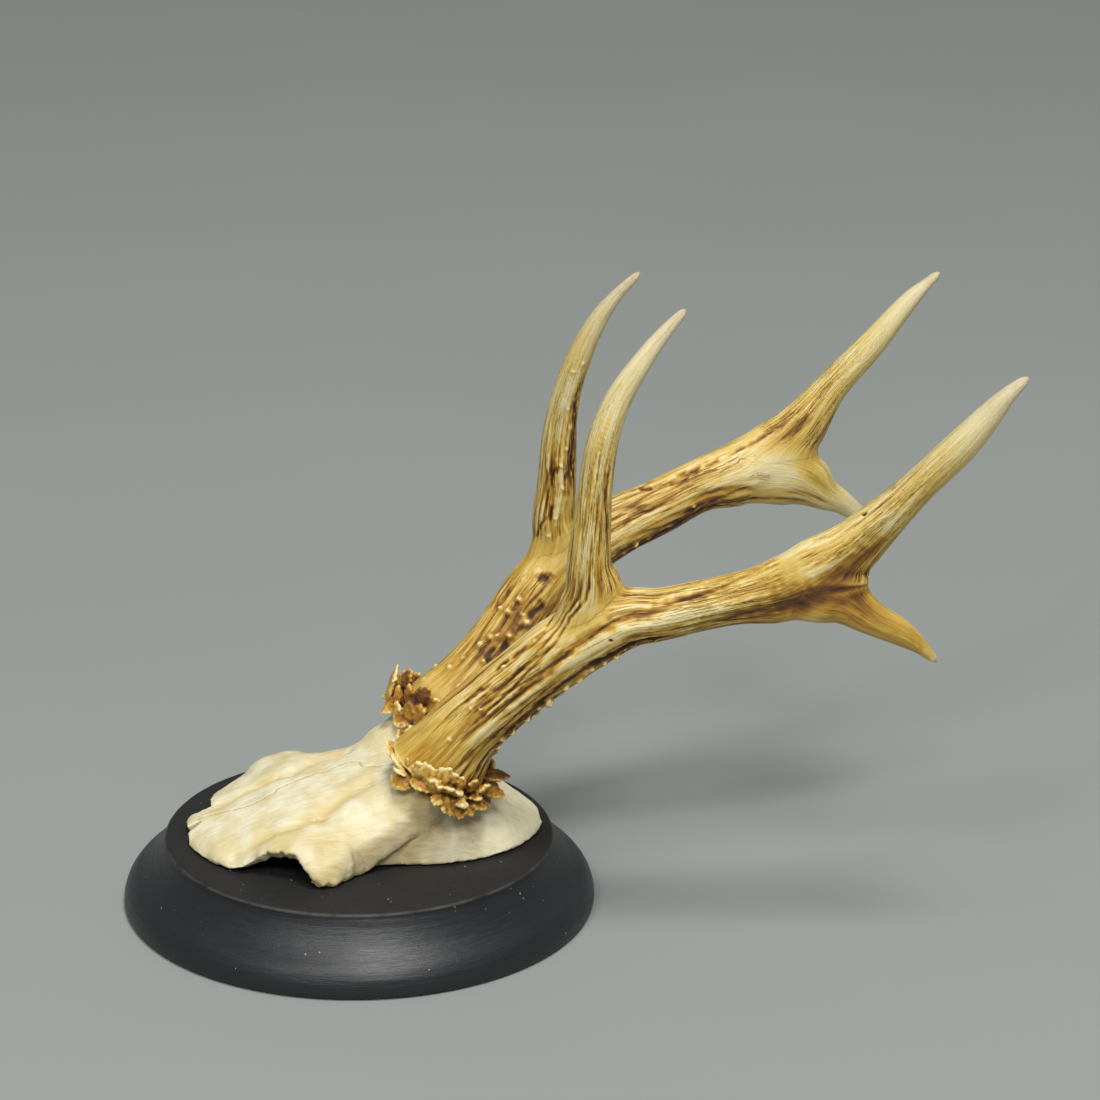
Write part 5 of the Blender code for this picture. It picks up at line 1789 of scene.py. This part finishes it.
# %% Dress the pieces
left_horn = antler_finish("left_antler", 0.28)
right_horn = antler_finish("right_antler", 0.32)
burr_horn = burr_finish()
finish_piece(left_antler, left_horn, "antler", "left_beam", "left_brow_tine", "left_rear_tine")
finish_piece(right_antler, right_horn, "antler", "right_beam", "right_brow_tine", "right_rear_tine")
finish_piece(left_burr, burr_horn, "antler", "left_beam")
finish_piece(right_burr, burr_horn, "antler", "right_beam")
finish_piece(skull_bone, bone_finish(), "bone", "skull_cap")
finish_piece(turned_plaque, paint_finish(), "painted_wood", "plaque")

# %% [markdown]
# ## Floor and light
#
# The trophy lies on a plain pale surface. The strongest of three soft lights hangs above it, one stands high
# at its side, the weakest stands high on the nose side, and an even grey world fills the shadows.

# %% Studio
FLOOR_GREY = (0.270, 0.290, 0.276)
FLOOR_PALE = (0.320, 0.340, 0.325)
FLOOR_SIZE = 6.0
WARM_WHITE = (1.0, 0.99, 0.98)
# name, place, what it points at, size, power, colour
LIGHTS = (
    ("front_box", (1.60, -1.25, 2.15), (0.0, 0.05, 0.05), 0.7, 18.0, (1.0, 0.99, 0.97)),
    ("top_box", (0.60, 0.25, 2.60), (0.0, 0.03, 0.03), 0.8, 44.0, WARM_WHITE),
    ("side_box", (1.80, 0.10, 1.90), (0.0, 0.05, 0.05), 0.7, 26.0, WARM_WHITE),
)
WORLD_COLOUR = (0.95, 0.98, 1.0)
WORLD_STRENGTH = 0.23


def lay_floor():
    deselect_all()
    bpy.ops.mesh.primitive_plane_add(size=FLOOR_SIZE, location=(0, 0, 0))
    floor = bpy.context.active_object
    floor.name = "floor"
    finish = Finish("floor")
    cloudy = finish.noise(finish.place(), scale=0.006, detail=2.0)
    colour = finish.mix(finish.step(cloudy, 0.3, 0.7, 0.0, 0.12), FLOOR_GREY, FLOOR_PALE)
    floor.data.materials.append(finish.paint(Base_Color=colour, Roughness=0.7))
    floor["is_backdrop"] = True


def hang_light(name, place, aim, size, power, colour):
    data = bpy.data.lights.new(name, "AREA")
    data.size = size
    data.energy = power
    data.color = colour
    lamp = bpy.data.objects.new(name, data)
    bpy.context.scene.collection.objects.link(lamp)
    turn = (Vector(place) - Vector(aim)).to_track_quat("Z", "Y").to_matrix().to_4x4()
    lamp.matrix_world = Matrix.Translation(place) @ turn


def fill_world(colour, strength):
    world = bpy.data.worlds.new("studio")
    bpy.context.scene.world = world
    world.use_nodes = True
    background = world.node_tree.nodes["Background"]
    background.inputs["Color"].default_value = (*colour, 1.0)
    background.inputs["Strength"].default_value = strength


lay_floor()
for light in LIGHTS:
    hang_light(*light)
fill_world(WORLD_COLOUR, WORLD_STRENGTH)
bpy.context.scene.view_settings.view_transform = "Standard"
print("studio: a floor and", len(LIGHTS), "lights")

boxes = {"cad": (cad_low, cad_high), "visual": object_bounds()}
{name: [list(map(float, corner)) for corner in box] for name, box in boxes.items()}
